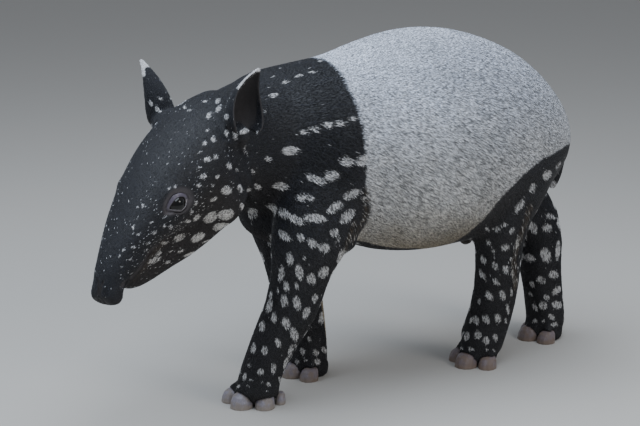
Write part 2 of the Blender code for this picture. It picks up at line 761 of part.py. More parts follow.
def node(name, slot, work):
    """Named node of the animal from a bmesh."""
    mesh = bpy.data.meshes.new(name)
    tidied(work)
    work.to_mesh(mesh)
    work.free()
    made = bpy.data.objects.new(name, mesh)
    made.data.materials.clear()
    made.data.materials.append(materials[slot])
    animal.objects.link(made)
    return made


MARKS = {
    "head": in_head(0.120, 0, 0.050),
    "proboscis": in_head(0.315, 0, 0.062),
    "lower_jaw": in_head(0.170, 0, -0.010),
    "neck": Vector((-0.170, -0.040, 0.430)),
    "trunk": Vector((0.150, 0, 0.410)),
    "tail": Vector((0.490, -0.003, 0.345)),
}
for name, rows in LEGS.items():
    middle, ahead, outward = foot_frame(name)
    MARKS[name + "_shin"] = Vector(rows[5][:3])
    MARKS[name + "_foot"] = middle + Vector((0, 0, 0.020))

pieces = []
for piece in loose_pieces(flesh.data):
    size = piece.calc_volume(signed=True)
    if size < 1e-7:
        piece.free()
        continue
    centre = sum((v.co for v in piece.verts), Vector()) / len(piece.verts)
    pieces.append([size, centre, piece])
pieces.sort(key=lambda entry: -entry[0])
found = {}
for title, mark in MARKS.items():
    best = min((p for p in pieces if p[2] is not None),
               key=lambda p: (p[1] - mark).length)
    found[title] = best[2]
    print(title, "volume", round(best[0] * 1e6), "cm3, off by", round((best[1] - mark).length, 3))
    best[2] = None
for size, centre, piece in pieces:
    if piece is not None:
        print("left over", round(size * 1e6, 2), [round(c, 3) for c in centre])
for title, piece in found.items():
    node(title, "saddle_coat" if title == "trunk" else "black_coat", piece)
bpy.data.objects.remove(flesh)

# Upper legs are boxed out of the trunk: front and rear, armpit, tilt of the inner face
THIGHS = {
    "left_fore": (-0.160, 0.040, -0.035, 0.235, 36),
    "right_fore": (-0.110, 0.085, 0.035, 0.235, -36),
    "left_hind": (0.235, 0.500, -0.022, 0.240, 32),
    "right_hind": (0.255, 0.540, 0.022, 0.240, -32),
}
THIGH_DEEP = 0.100      # half size of the boxes away from the inner face
THIGH_HIGH = 0.200      # half size along the inner face


def thigh_box(name, grow, home):
    """Box round one upper leg."""
    front, rear, y, z, tilt = THIGHS[name]
    angle = math.radians(tilt)
    across = Vector((0, math.cos(angle), math.sin(angle)))
    high = Vector((0, -math.sin(angle), math.cos(angle)))
    outward = across * math.copysign(THIGH_DEEP, y)
    middle = Vector(((front + rear) / 2, y, z)) + outward + high * 0.060
    halves = ((rear - front) / 2 + grow, THIGH_DEEP + grow, THIGH_HIGH + grow)
    return box(name + "_box", middle, (Vector((1, 0, 0)), across, high), halves, home)


trunk = animal.objects["trunk"]
beds = group("thigh_beds")
for name in LEGS:
    upper = bpy.data.objects.new(name + "_thigh", trunk.data.copy())
    animal.objects.link(upper)
    holder = group(name + "_thigh_box")
    boolean(upper, thigh_box(name, 0.0, holder), "INTERSECT")
    upper.data.materials.clear()
    upper.data.materials.append(materials["black_coat"])
    thigh_box(name, GAP, beds)
boolean(trunk, beds, "DIFFERENCE")
for made in animal.objects:
    if made is trunk or made.name.endswith(("_thigh", "_ear")):
        work = bmesh.new()
        work.from_mesh(made.data)
        tidied(work)
        work.to_mesh(made.data)
        work.free()

# Hooves and eyes
for name in LEGS:
    for toe in toes_of(name):
        made = hoof(name + "_" + toe + "_hoof", name, toe, 0.0, animal)
        made.data.materials.append(materials["hoof_horn"])
for side, title in ((1, "left_eye"), (-1, "right_eye")):
    made = ball(title, (EYE_CENTRE[0], side * EYE_CENTRE[1], EYE_CENTRE[2]),
                [EYE_RADIUS] * 3, animal, HEAD, 10, 18)
    made.data.materials.append(materials["eye_surface"])

# Origin under the middle of the animal, on the floor
corners = [v.co for made in animal.objects for v in made.data.vertices]
low = Vector([min(c[i] for c in corners) for i in range(3)])
high = Vector([max(c[i] for c in corners) for i in range(3)])
move = Vector((-(low.x + high.x) / 2, -(low.y + high.y) / 2, -low.z))
for made in animal.objects:
    made.data.transform(Matrix.Translation(move))
print("moved by", [round(m, 5) for m in move], "size", [round(s, 4) for s in high - low])

for cutter in [c for c in bpy.data.objects if c.name not in animal.objects]:
    cutter.hide_render = True
    cutter.display_type = "WIRE"
total = 0
for made in animal.objects:
    made.data.set_sharp_from_angle(angle=SMOOTH_ANGLE)
    made.data.calc_loop_triangles()
    total += len(made.data.loop_triangles)
    print(made.name, len(made.data.loop_triangles))
print("nodes", len(animal.objects), "triangles", total)
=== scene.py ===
# %% [markdown]
# # A malayan tapir calf, from its solids to its coat
# The solids of the calf are packed already: head, neck, trunk, legs, ears, hooves and eyes. This
# script dresses them. One skin is drawn over all the flesh, the markings are worked out on it, and
# a short coat of small solid tufts is laid over it along the lie of the fur.

# %% Load the solids
import math
import bpy
import numpy as np
from mathutils import Vector, Matrix
from mathutils.bvhtree import BVHTree


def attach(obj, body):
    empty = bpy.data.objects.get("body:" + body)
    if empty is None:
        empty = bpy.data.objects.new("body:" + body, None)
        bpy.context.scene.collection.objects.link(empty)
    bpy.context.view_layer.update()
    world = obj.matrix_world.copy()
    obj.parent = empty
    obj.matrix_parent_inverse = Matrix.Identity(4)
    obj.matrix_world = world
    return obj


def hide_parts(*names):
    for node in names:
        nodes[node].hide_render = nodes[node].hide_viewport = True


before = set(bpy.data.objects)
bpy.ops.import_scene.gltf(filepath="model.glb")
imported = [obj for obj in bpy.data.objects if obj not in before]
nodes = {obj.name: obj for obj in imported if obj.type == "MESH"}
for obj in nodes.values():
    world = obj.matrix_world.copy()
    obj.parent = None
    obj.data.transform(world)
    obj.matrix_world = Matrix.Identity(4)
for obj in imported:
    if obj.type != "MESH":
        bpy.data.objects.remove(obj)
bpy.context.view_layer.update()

# %% [markdown]
# The solids were modelled round a point between the forefeet and then moved so that the origin lies
# under their middle. That move is named once here, so that a place can be given in the modeller's
# own coordinates. The head has axes of its own: forward along the nose, sideways to the calf's
# left, and up out of the forehead.

# %% Shared measures
SHIFT = Vector((-0.02951, 0.02632, 0.0))
HEAD_ORIGIN = Vector((-0.229, -0.086, 0.455)) + SHIFT
HEAD_YAW = math.radians(27.0)
HEAD_PITCH = math.radians(46.0)

nose_way = Vector((-math.cos(HEAD_YAW) * math.cos(HEAD_PITCH),
                   -math.sin(HEAD_YAW) * math.cos(HEAD_PITCH), -math.sin(HEAD_PITCH)))
left_way = Vector((math.sin(HEAD_YAW), -math.cos(HEAD_YAW), 0.0))
brow_way = nose_way.cross(left_way)
HEAD = Matrix.Translation(HEAD_ORIGIN) @ Matrix((nose_way, left_way, brow_way)).transposed().to_4x4()


def in_head(u, v, w):
    """Point given in the head's own axes."""
    return HEAD @ Vector((u, v, w))


print("nose tip near", [round(c, 3) for c in in_head(0.33, 0, 0.06)])

# %% [markdown]
# The camera looks from low down at the calf's front left, with a long lens. It was fitted to the
# four feet and the line of the back. It also gives the rays that later place each spot of the coat
# where the photograph shows it.

# %% The camera
PHOTO_WIDE, PHOTO_HIGH = 640, 426
CAMERA_TURN, CAMERA_RISE = math.radians(-28.0), math.radians(13.0)
CAMERA_AWAY, LENS, SENSOR = 3.1, 105.02, 36.0
FOCAL_PIXELS = LENS / SENSOR * PHOTO_WIDE

looked_at = Vector((0.0, 0.0, 0.300)) + SHIFT
camera_back = Vector((math.sin(CAMERA_TURN) * math.cos(CAMERA_RISE),
                      -math.cos(CAMERA_TURN) * math.cos(CAMERA_RISE), math.sin(CAMERA_RISE)))
camera_data = bpy.data.cameras.new("photo_camera")
camera_data.lens = LENS
camera_data.sensor_width = SENSOR
camera = bpy.data.objects.new("photo_camera", camera_data)
camera.location = looked_at + camera_back * CAMERA_AWAY
camera.rotation_euler = camera_back.to_track_quat("Z", "Y").to_euler()
bpy.context.scene.collection.objects.link(camera)
bpy.context.scene.camera = camera
bpy.context.view_layer.update()


def sight(px, py):
    """Where a ray through a pixel of the photograph starts and its direction."""
    local = Vector(((px - PHOTO_WIDE / 2) / FOCAL_PIXELS, -(py - PHOTO_HIGH / 2) / FOCAL_PIXELS, -1.0))
    return camera.location.copy(), (camera.matrix_world.to_3x3() @ local).normalized()


print("camera at", [round(c, 2) for c in camera.location])

# %% [markdown]
# The light of the photograph is soft and comes from above, a little blue. So the studio has a plain
# pale floor, a wide cool light overhead and a weaker, warmer one from the camera's right, which
# also puts the spark in the near eye.

# %% Floor and light
LIGHT_AIM = (0, 0, 0.3)
bpy.ops.object.select_all(action="DESELECT")
bpy.ops.mesh.primitive_plane_add(size=14.0, location=(0, 0, 0))
floor = bpy.context.object
floor.name = "studio_floor"
floor_finish = bpy.data.materials.new("studio_floor")
floor_finish.use_nodes = True
floor_shader = floor_finish.node_tree.nodes["Principled BSDF"]
floor_shader.inputs["Base Color"].default_value = (0.52, 0.50, 0.47, 1.0)
floor_shader.inputs["Roughness"].default_value = 0.9
floor.data.materials.append(floor_finish)


def soft_light(name, place, size, power, colour):
    """Square area light that looks at the calf's middle."""
    lamp = bpy.data.lights.new(name, "AREA")
    lamp.size = size
    lamp.energy = power
    lamp.color = colour
    holder = bpy.data.objects.new(name, lamp)
    holder.location = place
    holder.rotation_euler = (Vector(place) - Vector(LIGHT_AIM)).to_track_quat("Z", "Y").to_euler()
    bpy.context.scene.collection.objects.link(holder)


soft_light("sky_light", (-0.6, -0.3, 2.5), 2.6, 92.0, (0.79, 0.885, 1.0))
soft_light("side_light", (0.9, -2.0, 1.7), 0.9, 16.0, (1.0, 0.98, 0.95))
world = bpy.data.worlds.new("studio_air")
bpy.context.scene.world = world
world.use_nodes = True
air = world.node_tree.nodes["Background"]
air.inputs["Color"].default_value = (0.58, 0.62, 0.68, 1.0)
air.inputs["Strength"].default_value = 0.48

# %% [markdown]
# ## The skin
# Blender's tools act on what is selected and active. Three small helpers keep that in order: one
# selects, one adds a modifier and applies it, and one runs a mesh tool on the whole of a piece.

# %% Helpers for shaping
def alone(*things):
    """Select only these objects, the first one active."""
    if bpy.context.object and bpy.context.object.mode != "OBJECT":
        bpy.ops.object.mode_set(mode="OBJECT")
    bpy.ops.object.select_all(action="DESELECT")
    for thing in things:
        thing.select_set(True)
    bpy.context.view_layer.objects.active = things[0]


def finished_with(thing, kind, **settings):
    """Add a modifier with its settings and apply it."""
    alone(thing)
    step = thing.modifiers.new(kind.lower(), kind)
    for name, value in settings.items():
        setattr(step, name, value)
    bpy.ops.object.modifier_apply(modifier=step.name)


def edited(thing, tool, **settings):
    """Run one mesh tool on the whole of a piece in edit mode."""
    alone(thing)
    bpy.ops.object.mode_set(mode="EDIT")
    bpy.ops.mesh.select_all(action="SELECT")
    tool(**settings)
    bpy.ops.object.mode_set(mode="OBJECT")


print("helpers for shaping ready")

# %% [markdown]
# The flesh comes as twenty solids that meet at hair-thin cuts. A live animal shows none of these,
# so copies of them are joined, swollen by half a millimetre so that they overlap, and remeshed by
# voxels, which melts them into one closed surface. The copies are merged first, because a packed
# node is loose triangles.

# %% One closed skin
SKIN_VOXEL = 0.0021
SWELL = 0.0005
SAME_POINT = 0.00002


def copy_of(names, title):
    """One merged mesh from copies of several solids, free of their settings."""
    alone(*[nodes[name] for name in names])
    bpy.ops.object.duplicate()
    copies = list(bpy.context.selected_objects)
    alone(*copies)
    bpy.ops.object.join()
    made = bpy.context.object
    made.name = title
    made.parent = None
    for key in list(made.keys()):
        del made[key]
    made.data.materials.clear()
    edited(made, bpy.ops.mesh.remove_doubles, threshold=SAME_POINT)
    return made


flesh_names = [name for name in nodes if not name.endswith(("_hoof", "_eye"))]
skin = copy_of(flesh_names, "skin")
finished_with(skin, "DISPLACE", strength=SWELL, mid_level=0.0)
finished_with(skin, "REMESH", mode="VOXEL", voxel_size=SKIN_VOXEL)
print("skin after the remesh", len(skin.data.polygons), "faces")

# %% [markdown]
# Each point of the skin is told which solid lies nearest. That gives every later step the part of
# the body it is on: how fine its mesh is, how deep the coat is there, and how the fur lies.

# %% Which part of the body
REGIONS = ("head", "neck", "trunk", "thigh", "shin", "foot", "tail", "ear")


def region_of(name):
    """Region index of a solid."""
    for word in REGIONS[1:]:
        if word in name:
            return REGIONS.index(word)
    return REGIONS.index("head")


all_points, all_triangles, triangle_region = [], [], []
for name in flesh_names:
    mesh = nodes[name].data
    mesh.calc_loop_triangles()
    start = len(all_points)
    all_points += [v.co.copy() for v in mesh.vertices]
    all_triangles += [tuple(start + i for i in t.vertices) for t in mesh.loop_triangles]
    triangle_region += [region_of(name)] * len(mesh.loop_triangles)
solids_tree = BVHTree.FromPolygons(all_points, all_triangles)


def regions_at(thing):
    """Region of the solid nearest to each point of a mesh."""
    return np.array([triangle_region[solids_tree.find_nearest(v.co)[2]] for v in thing.data.vertices])


def is_in(region, *names):
    """True for the points of some regions."""
    return np.isin(region, [REGIONS.index(n) for n in names])


region = regions_at(skin)
print("points in each region", dict(zip(REGIONS, np.bincount(region, minlength=len(REGIONS)).tolist())))

# %% [markdown]
# The solids are faceted, and a barrel of flat facets would show under a glossy coat. Smooth relaxes
# the voxels: a little everywhere, and far more on the broad trunk and neck, where no form is small
# enough to be lost.

# %% Relax the facets
RELAXED = (("barrel", 110, ("trunk", "neck")),
           ("limbs", 14, ("trunk", "neck", "thigh", "shin")),
           ("crown", 6, ("trunk", "neck", "thigh", "head")))


def grouped(thing, title, chosen):
    """Vertex group of the chosen points at full weight."""
    group = thing.vertex_groups.new(name=title)
    group.add([int(i) for i in np.nonzero(chosen)[0]], 1.0, "REPLACE")
    return title


finished_with(skin, "SMOOTH", factor=0.5, iterations=5)
for title, steps, names in RELAXED:
    finished_with(skin, "SMOOTH", factor=0.5, iterations=steps,
                  vertex_group=grouped(skin, title, is_in(region, *names)))
print("groups", [g.name for g in skin.vertex_groups])

# %% [markdown]
# A face with its lids and lips needs a fine mesh and the barrel doesn't. Decimate thins only what
# is in a vertex group, so the trunk, the limbs and the head are thinned one after another, each to
# its own number of triangles.

# %% Thin the skin part by part
TRIANGLES_WANTED = (("trunk", 20000), ("neck thigh shin foot tail", 98000), ("head ear", 72000))


def read_out(elements, title, wide, kind=np.float32):
    """One property of all elements of a mesh as an array."""
    flat = np.empty(len(elements) * wide, kind)
    elements.foreach_get(title, flat)
    return flat.reshape(-1, wide)


def thin(thing, region, names, wanted):
    """Decimate the faces that lie wholly in some regions to a number of triangles."""
    chosen = is_in(region, *names.split())
    thing.data.calc_loop_triangles()
    corners = read_out(thing.data.loop_triangles, "vertices", 3, np.int32)
    within = int(np.sum(chosen[corners].all(axis=1)))
    finished_with(thing, "DECIMATE", ratio=(len(corners) - within + wanted) / len(corners),
                  vertex_group=grouped(thing, names.split()[0] + "_thin", chosen))
    return within


finished_with(skin, "TRIANGULATE")
for names, wanted in TRIANGLES_WANTED:
    before = thin(skin, region, names, wanted)
    region = regions_at(skin)
    print(names, "thinned from", before, "to", wanted)
skin.vertex_groups.clear()
print("skin has", len(skin.data.polygons), "triangles")

# %% [markdown]
# The solids end where the fur ends, so the skin lies inside them by the depth of the coat: about
# a millimetre and a half on the barrel and almost nothing on ears and feet. From here on the skin
# is shaped by arithmetic on all its points at once, which helpers read and write as arrays. The
# depth is averaged over neighbouring points, so that no step shows between two regions.

# %% Sink the skin by the depth of the coat
COAT_DEPTH = {"head": 0.0008, "neck": 0.0015, "trunk": 0.0017, "thigh": 0.0015, "shin": 0.0010,
              "foot": 0.0007, "tail": 0.0009, "ear": 0.0001}


def places(thing):
    """Vertex positions of a mesh as an array."""
    return read_out(thing.data.vertices, "co", 3).astype(np.float64)


def normals_of(thing):
    """Vertex normals of a mesh as an array."""
    return read_out(thing.data.vertex_normals, "vector", 3).astype(np.float64)


def put_places(thing, points):
    """Write vertex positions back."""
    thing.data.vertices.foreach_set("co", points.astype(np.float32).ravel())
    thing.data.update()


def spread(values, steps):
    """Average values over neighbouring points of the skin, several times."""
    one, two = read_out(skin.data.edges, "vertices", 2, np.int32).T
    count = len(skin.data.vertices)
    links = np.maximum(np.bincount(one, minlength=count) + np.bincount(two, minlength=count), 1)
    columns = values.astype(np.float64).reshape(count, -1)
    for _ in range(steps):
        total = [np.bincount(one, c[two], count) + np.bincount(two, c[one], count) for c in columns.T]
        columns = 0.5 * columns + 0.5 * (np.array(total) / links).T
    return columns.reshape(values.shape)


depth = spread(np.array([COAT_DEPTH[REGIONS[r]] for r in region]), 12) + SWELL
put_places(skin, places(skin) - normals_of(skin) * depth[:, None])
print("skin sunk by", round(float(depth.min()) * 1000, 2), "to", round(float(depth.max()) * 1000, 2), "mm")

# %% [markdown]
# ## The opening of the eye
# The ball looks outwards, a little forwards and up. Its axes are named once, and all that lies
# round the eye is placed by how far it is along the slit, across it and outwards. The far eye is
# the mirror image of the near one.

# %% Where the eyes are
EYE_CENTRE = (0.153, 0.0443, 0.0673)
EYE_OUT, EYE_ALONG = (0.22, 0.91, 0.36), (0.875, -0.345, 0.337)
BALL_RADIUS = 0.0170


def eye_axes(side):
    """Middle of the eyeball and its axes: along the slit, across it, and outwards."""
    out, along = Vector(EYE_OUT).normalized(), Vector(EYE_ALONG)
    along = (along - out * along.dot(out)).normalized()
    axes = [Vector(EYE_CENTRE), along, along.cross(out), out]
    axes = [Vector((a.x, a.y * side, a.z)) for a in axes]
    return [HEAD @ axes[0]] + [HEAD.to_3x3() @ a for a in axes[1:]]


def eye_local(points, side):
    """Positions along the slit, across it and outwards from the middle of the eyeball."""
    ball, along, across, out = [np.array(v) for v in eye_axes(side)]
    gap = points - ball
    return gap @ along, gap @ across, gap @ out


print("near eye at", [round(c, 3) for c in eye_axes(1)[0]])

# %% [markdown]
# The photograph shows an almond of dark eye 29 mm long and 19 mm high, its inner corner low and
# towards the nose. It is an ellipse drawn by an angle, and pinched towards the inner corner. The
# lids follow its edge, the upper one broad and the lower one thin, and lie lowest at the corners.

# %% The almond and the measures of the lids
ALMOND_HALF = 0.0143
ALMOND_UP, ALMOND_DOWN = 0.0099, 0.0090
UPPER_PINCH, LOWER_PINCH = 0.30, 0.75
UPPER_LID, LOWER_LID = 0.0032, 0.0015
CORNER_LEVEL, UPPER_LEVEL, LOWER_LEVEL = 0.0080, 0.0122, 0.0118


def almond(turn):
    """The edge of the opening at an angle, 0 at the inner corner and 90 degrees at the top."""
    above = np.sin(turn) > 0
    half, pinch = np.where(above, ALMOND_UP, ALMOND_DOWN), np.where(above, UPPER_PINCH, LOWER_PINCH)
    return ALMOND_HALF * np.cos(turn), half * np.sin(turn) * (1 - pinch * np.maximum(np.cos(turn), 0))


def beside_almond(turn, away):
    """Point at a distance outside the edge of the opening, at an angle."""
    a, b = almond(turn)
    next_a, next_b = almond(turn + 0.01)
    way = np.array([next_b - b, a - next_a])
    way /= np.linalg.norm(way, axis=0)
    return a + way[0] * away, b + way[1] * away


def lid_width(turn):
    """Half the width of the lid at an angle."""
    return 0.5 * (UPPER_LID + LOWER_LID) + 0.5 * (UPPER_LID - LOWER_LID) * np.sin(turn)


def lid_level(turn):
    """Height of the lids' outer edge above the middle of the eyeball."""
    rise, fall = np.maximum(np.sin(turn), 0), np.maximum(-np.sin(turn), 0)
    return CORNER_LEVEL + (UPPER_LEVEL - CORNER_LEVEL) * rise + (LOWER_LEVEL - CORNER_LEVEL) * fall


print("opening", round(2000 * ALMOND_HALF, 1), "by", round(1000 * (ALMOND_UP + ALMOND_DOWN), 1), "mm")

# %% [markdown]
# The solids carry the eyeball behind a plain slit. The skin round the slit is pushed outwards until
# it ends where the lids will, and brought to their level, so that the lids have a bed to lie in. All
# distances are shares of the lids' outer edge: 1 is that edge, and at 2 the skin is left as it was.

# %% The bed of the lids
SLIT_HALF, SLIT_HIGH = 0.0155, 0.0090
BED_START, BED_REACH, BED_FAR = 0.97, 2.0, 9.0
LID_SPAN = 1.8
EYE_REACH, EYE_DEEP = 0.05, 0.03


def eased_step(value, low, high):
    """Smooth step from 0 at low to 1 at high."""
    share = np.clip((value - low) / (high - low), 0.0, 1.0)
    return share * share * (3.0 - 2.0 * share)


def bed_radius(a, b):
    """Distance from the middle as a share of the lids' outer edge, that edge, and the angle there."""
    turns = np.linspace(-3.14, 3.14, 361)
    rim_a, rim_b = beside_almond(turns, LID_SPAN * lid_width(turns))
    seen = np.arctan2(rim_b, rim_a)
    order = np.argsort(seen)
    here = np.arctan2(b, a)
    edge = np.interp(here, seen[order], np.hypot(rim_a, rim_b)[order])
    return np.hypot(a, b) / edge, edge, np.interp(here, seen[order], turns[order])


def slit_levels(rim, turn, out):
    """Angles round the slit and the height at which the skin ends there."""
    angles, levels = [], []
    for angle in np.linspace(-np.pi, np.pi, 13):
        sector = rim & (np.abs(np.angle(np.exp(1j * (turn - angle)))) < 0.4)
        if sector.any():
            angles.append(angle)
            levels.append(float(np.mean(out[sector])))
    return angles, levels


points = places(skin)
bed = np.full(len(points), BED_FAR)
for side in (1, -1):
    a, b, out = eye_local(points, side)
    near = (np.hypot(a, b) < EYE_REACH) & (np.abs(out) < EYE_DEEP)
    share, edge, turn = bed_radius(a, b)
    way = np.array([a, b]) / np.maximum(np.hypot(a, b), 1e-9)
    old = 1 / (edge * np.hypot(way[0] / SLIT_HALF, way[1] / SLIT_HIGH))
    fresh = np.where(share < old, BED_START * share / old,
                     BED_START + (share - old) * (BED_REACH - BED_START) / (BED_REACH - old))
    fresh = np.where(share > BED_REACH, share, fresh)
    rim = near & (share > old + 0.02) & (share < old + 0.18) & (out > 0.008)
    angles, levels = slit_levels(rim, turn, out)
    lift = (lid_level(turn) - np.interp(turn, angles, levels)) * (1 - eased_step(fresh, 1.0, BED_REACH))
    print("slit edge stands at", [round(1000 * level, 1) for level in levels], "mm")
    ball, along, across, outwards = [np.array(v) for v in eye_axes(side)]
    moved = (points + ((fresh - share) * edge * way[0])[:, None] * along
             + ((fresh - share) * edge * way[1])[:, None] * across + lift[:, None] * outwards)
    points = np.where(near[:, None], moved, points)
    bed = np.where(near, np.minimum(bed, fresh), bed)
put_places(skin, points)
print("points moved round the eyes", int((bed < BED_REACH).sum()))

# %% [markdown]
# ## Folds
# A crease is a line on the skin with a shallow valley along it and a low roll on each side. The
# lines are given by pixels of the photograph and dropped on the skin along the camera's rays. A
# pixel just outside the outline takes the skin that its ray passes nearest to. Lines of the head are
# mirrored to its far side.

# %% Dropping lines on the skin
RAY_FROM, RAY_STEP, RAY_STEPS = 2.55, 0.012, 90
ROLL_HIGH, ROLL_AT, CREASE_END = 0.35, 2.1, 5


def tree_of(thing):
    """Tree of a mesh for ray and nearest-point tests."""
    points = [v.co.copy() for v in thing.data.vertices]
    return BVHTree.FromPolygons(points, [tuple(p.vertices) for p in thing.data.polygons])


def on_skin(px, py, reach=0.008):
    """Point and normal of the skin seen at a pixel, or the nearest skin beside that ray."""
    start, way = sight(px, py)
    hit, normal, _, _ = skin_tree.ray_cast(start, way)
    if hit is not None:
        return hit, normal
    best = None
    for step in range(RAY_STEPS):
        near, normal, _, gap = skin_tree.find_nearest(start + way * (RAY_FROM + RAY_STEP * step))
        if best is None or gap < best[2]:
            best = (near, normal, gap)
    return (best[0], best[1]) if best[2] < reach else (None, None)


def dropped(path, flip=None, reach=0.02):
    """Points of the skin seen along a path of pixels, or their mirror image."""
    seen = [p for p in [on_skin(*pixel, reach)[0] for pixel in path] if p is not None]
    return seen if flip is None else [skin_tree.find_nearest(flip @ p)[0] for p in seen]


def line_distance(points, path):
    """Distance of each point from a polyline."""
    nearest = np.full(len(points), 1e9)
    for a, b in zip(path[:-1], path[1:]):
        a, b = np.array(a), np.array(b)
        along = b - a
        share = np.clip((points - a) @ along / max(along @ along, 1e-12), 0, 1)
        nearest = np.minimum(nearest, np.linalg.norm(points - a - share[:, None] * along, axis=1))
    return nearest


def crease(points, normals, path, deep, wide):
    """Points moved into a valley along a path, with a low roll on each side of it."""
    away = line_distance(points, path) / wide
    move = -deep * np.exp(-away ** 2) + ROLL_HIGH * deep * np.exp(-(away - ROLL_AT) ** 2)
    return points + normals * np.where(away < CREASE_END, move, 0.0)[:, None]


skin_tree = tree_of(skin)
print("middle of the photograph falls on the skin at", [round(c, 3) for c in on_skin(320, 213)[0]])

# %% [markdown]
# The mouth runs back from under the nose tip, and a short fold marks each side of the nose. Both
# are narrow and sharp. The neck has three soft folds where the head turns, twice as wide.

# %% Creases of mouth, nose and neck
MOUTH = [(121.5, 286), (126, 281.5), (131, 277.5), (136, 272), (141, 266), (147.5, 255.5), (152, 249),
         (158, 244.5)]
NOSE_FOLD = [(98, 281), (98.5, 292), (100.5, 305)]
NECK_FOLDS = [[(238, 138), (243, 152), (248, 170), (255, 186)], [(229, 150), (236, 168), (244, 186), (250, 200)],
              [(246, 150), (252, 168), (258, 182), (262, 192)]]
flip_head = HEAD @ Matrix.Diagonal((1, -1, 1, 1)) @ HEAD.inverted()

lip_lines = [dropped(MOUTH), dropped(MOUTH, flip_head)]
nose_lines = [dropped(NOSE_FOLD), dropped(NOSE_FOLD, flip_head)]
neck_lines = [dropped(fold) for fold in NECK_FOLDS]
points, normals = places(skin), normals_of(skin)
for lines, deep, wide in ((lip_lines, 0.0030, 0.0024), (neck_lines, 0.0021, 0.0054), (nose_lines, 0.0018, 0.0024)):
    for line in lines:
        points = crease(points, normals, line, deep, wide)
put_places(skin, points)
skin_tree = tree_of(skin)
points, normals = places(skin), normals_of(skin)
print("creases", len(lip_lines + nose_lines + neck_lines))

# %% [markdown]
# ## The markings
# A calf is born dark with pale stripes and spots. At this age the saddle has come through and the
# spots remain on shoulders, cheeks and legs. Every mark is an ellipse that was read off the
# photograph. A row gives its middle across and down, its length and its width in pixels, and its
# tilt in degrees, clockwise.

# %% Spots that the photograph shows
NECK_SPOTS = [
    (263, 111, 4, 2.5, 100), (258, 134, 4, 2, 60), (272, 95.5, 8, 4.5, -15), (271, 77.5, 3, 1.5, 0),
    (284, 82.5, 7, 3.5, -10), (296, 76.5, 6, 2.5, -15), (309, 73, 8, 2.5, -5), (317, 62, 5, 2, -30),
    (302, 132, 7.5, 5, 10), (312, 129, 8.5, 5.5, 10), (325, 124.5, 9, 7, 0), (337, 123.5, 7, 6.5, 10),
    (350, 118, 7, 6, 10), (289, 150.5, 17, 9.5, -5), (267, 159, 6.5, 5, 30), (278.5, 185.5, 15, 7.5, -5),
    (303, 196.5, 19, 7.5, 0), (309, 176, 12, 7, 18), (317, 179.5, 12, 7.5, 18), (329, 174, 16, 9, -15),
    (344, 160, 13, 9, -10), (362, 159.5, 19, 10, -20), (314, 217.5, 23, 8, 5), (334, 206.5, 19, 8, -30),
    (351, 193.5, 20, 7.5, -25), (272, 206, 14, 5.5, 15), (284, 212, 16, 7, 28), (296, 219, 16, 8, 25),
    (347, 215.5, 20, 8.5, -45), (334, 232, 10, 7, -25), (284, 234.5, 17, 6.5, 38), (300, 236.5, 9, 6.5, 35),
    (312, 242.5, 13, 7.5, 38), (324, 247, 12, 8.5, 0), (304, 257, 4, 2.5, 30), (341, 254, 16, 6, -62),
    (337, 240, 10, 2, -60), (364, 197, 9, 5, -40)]
CHEEK_SPOTS = [
    (213, 140, 7.5, 4.5, 60), (204, 144, 5, 4, 0), (199.5, 153, 5, 2, 0), (207, 160, 7, 5.5, 10),
    (215, 157.5, 6, 4, 55), (199, 168, 4.5, 2.5, 0), (203, 176.5, 6.5, 5.5, 0), (217, 177.5, 4, 4, 0),
    (198, 186, 5, 4, 0), (212, 186.5, 4, 3, 0), (229, 166.5, 7.5, 5, 60), (236, 170.5, 5, 2, 60),
    (226, 191, 10.5, 9, 0), (240, 189, 8, 6, 60), (247, 190, 7.5, 6, 70), (257, 187.5, 9, 5, 50),
    (213, 200, 6.5, 4, -15), (195, 204, 5, 3.5, 50), (201, 204, 2.5, 2, 0), (191, 212, 3, 4, 0),
    (196, 218.5, 9, 5.5, -50), (209, 217, 15, 9.5, -30), (226, 215.5, 16, 11, -10), (220.5, 227, 16, 9.5, -15),
    (242, 208, 7.5, 7.5, 0), (251, 210, 9, 8, 0), (187, 222, 6.5, 3, 0), (180, 223, 3, 2, 0),
    (179, 238, 12, 6.5, -20), (197.5, 238, 15, 7.5, -30), (164, 243.5, 7.5, 3, 0), (205, 242, 8, 2.5, -25),
    (154, 233, 5, 3, -25), (170, 228, 4.5, 3, 45), (151, 223, 3, 2, 0), (163.5, 227, 2.5, 3, 0),
    (147.5, 244, 4, 2.5, 0), (133, 247.5, 5, 3, -10), (138, 235, 3, 3, 0), (133, 228, 3, 4, 0),
    (137, 209, 4, 2, 0), (142, 207, 3, 4, 0), (130, 260, 3, 2.5, 0), (135.5, 255, 3, 2, 0),
    (121, 267, 2.5, 2.5, 0), (145, 251, 3, 2, 0), (170, 252, 3, 2, 0), (180, 252, 6, 2.5, -15),
    (188, 255, 12, 4, -25), (158, 254, 7, 4, -30), (154, 261, 14, 5, -20), (167, 263, 5, 3, -20),
    (175, 187, 3, 3, 0), (169, 189, 4, 2.5, -45), (123, 251, 2.5, 2.5, 0), (119, 257, 2, 2.5, 0)]
CROWN_SPOTS = [
    (226, 134, 7, 3.5, 80), (226, 117.5, 6.5, 5.5, 0), (208.5, 116, 7.5, 4.5, -70), (218, 109, 8, 4.5, -60),
    (217, 101, 6, 4, -60), (204, 102, 5, 2, 0), (184, 108, 4, 3, 20), (188.5, 111, 4.5, 2.5, 10),
    (172, 99, 4, 3, 60), (157, 109, 4, 5, 0), (159.5, 112, 3, 3, 0), (151, 104, 4, 6, -20), (161, 99, 4, 3, 0),
    (252, 172, 6, 2.5, 70), (207, 131, 4, 3, 0), (244, 150, 12, 1.8, 75), (234.5, 134, 14, 4.5, 85),
    (245, 131, 11, 5, -15)]
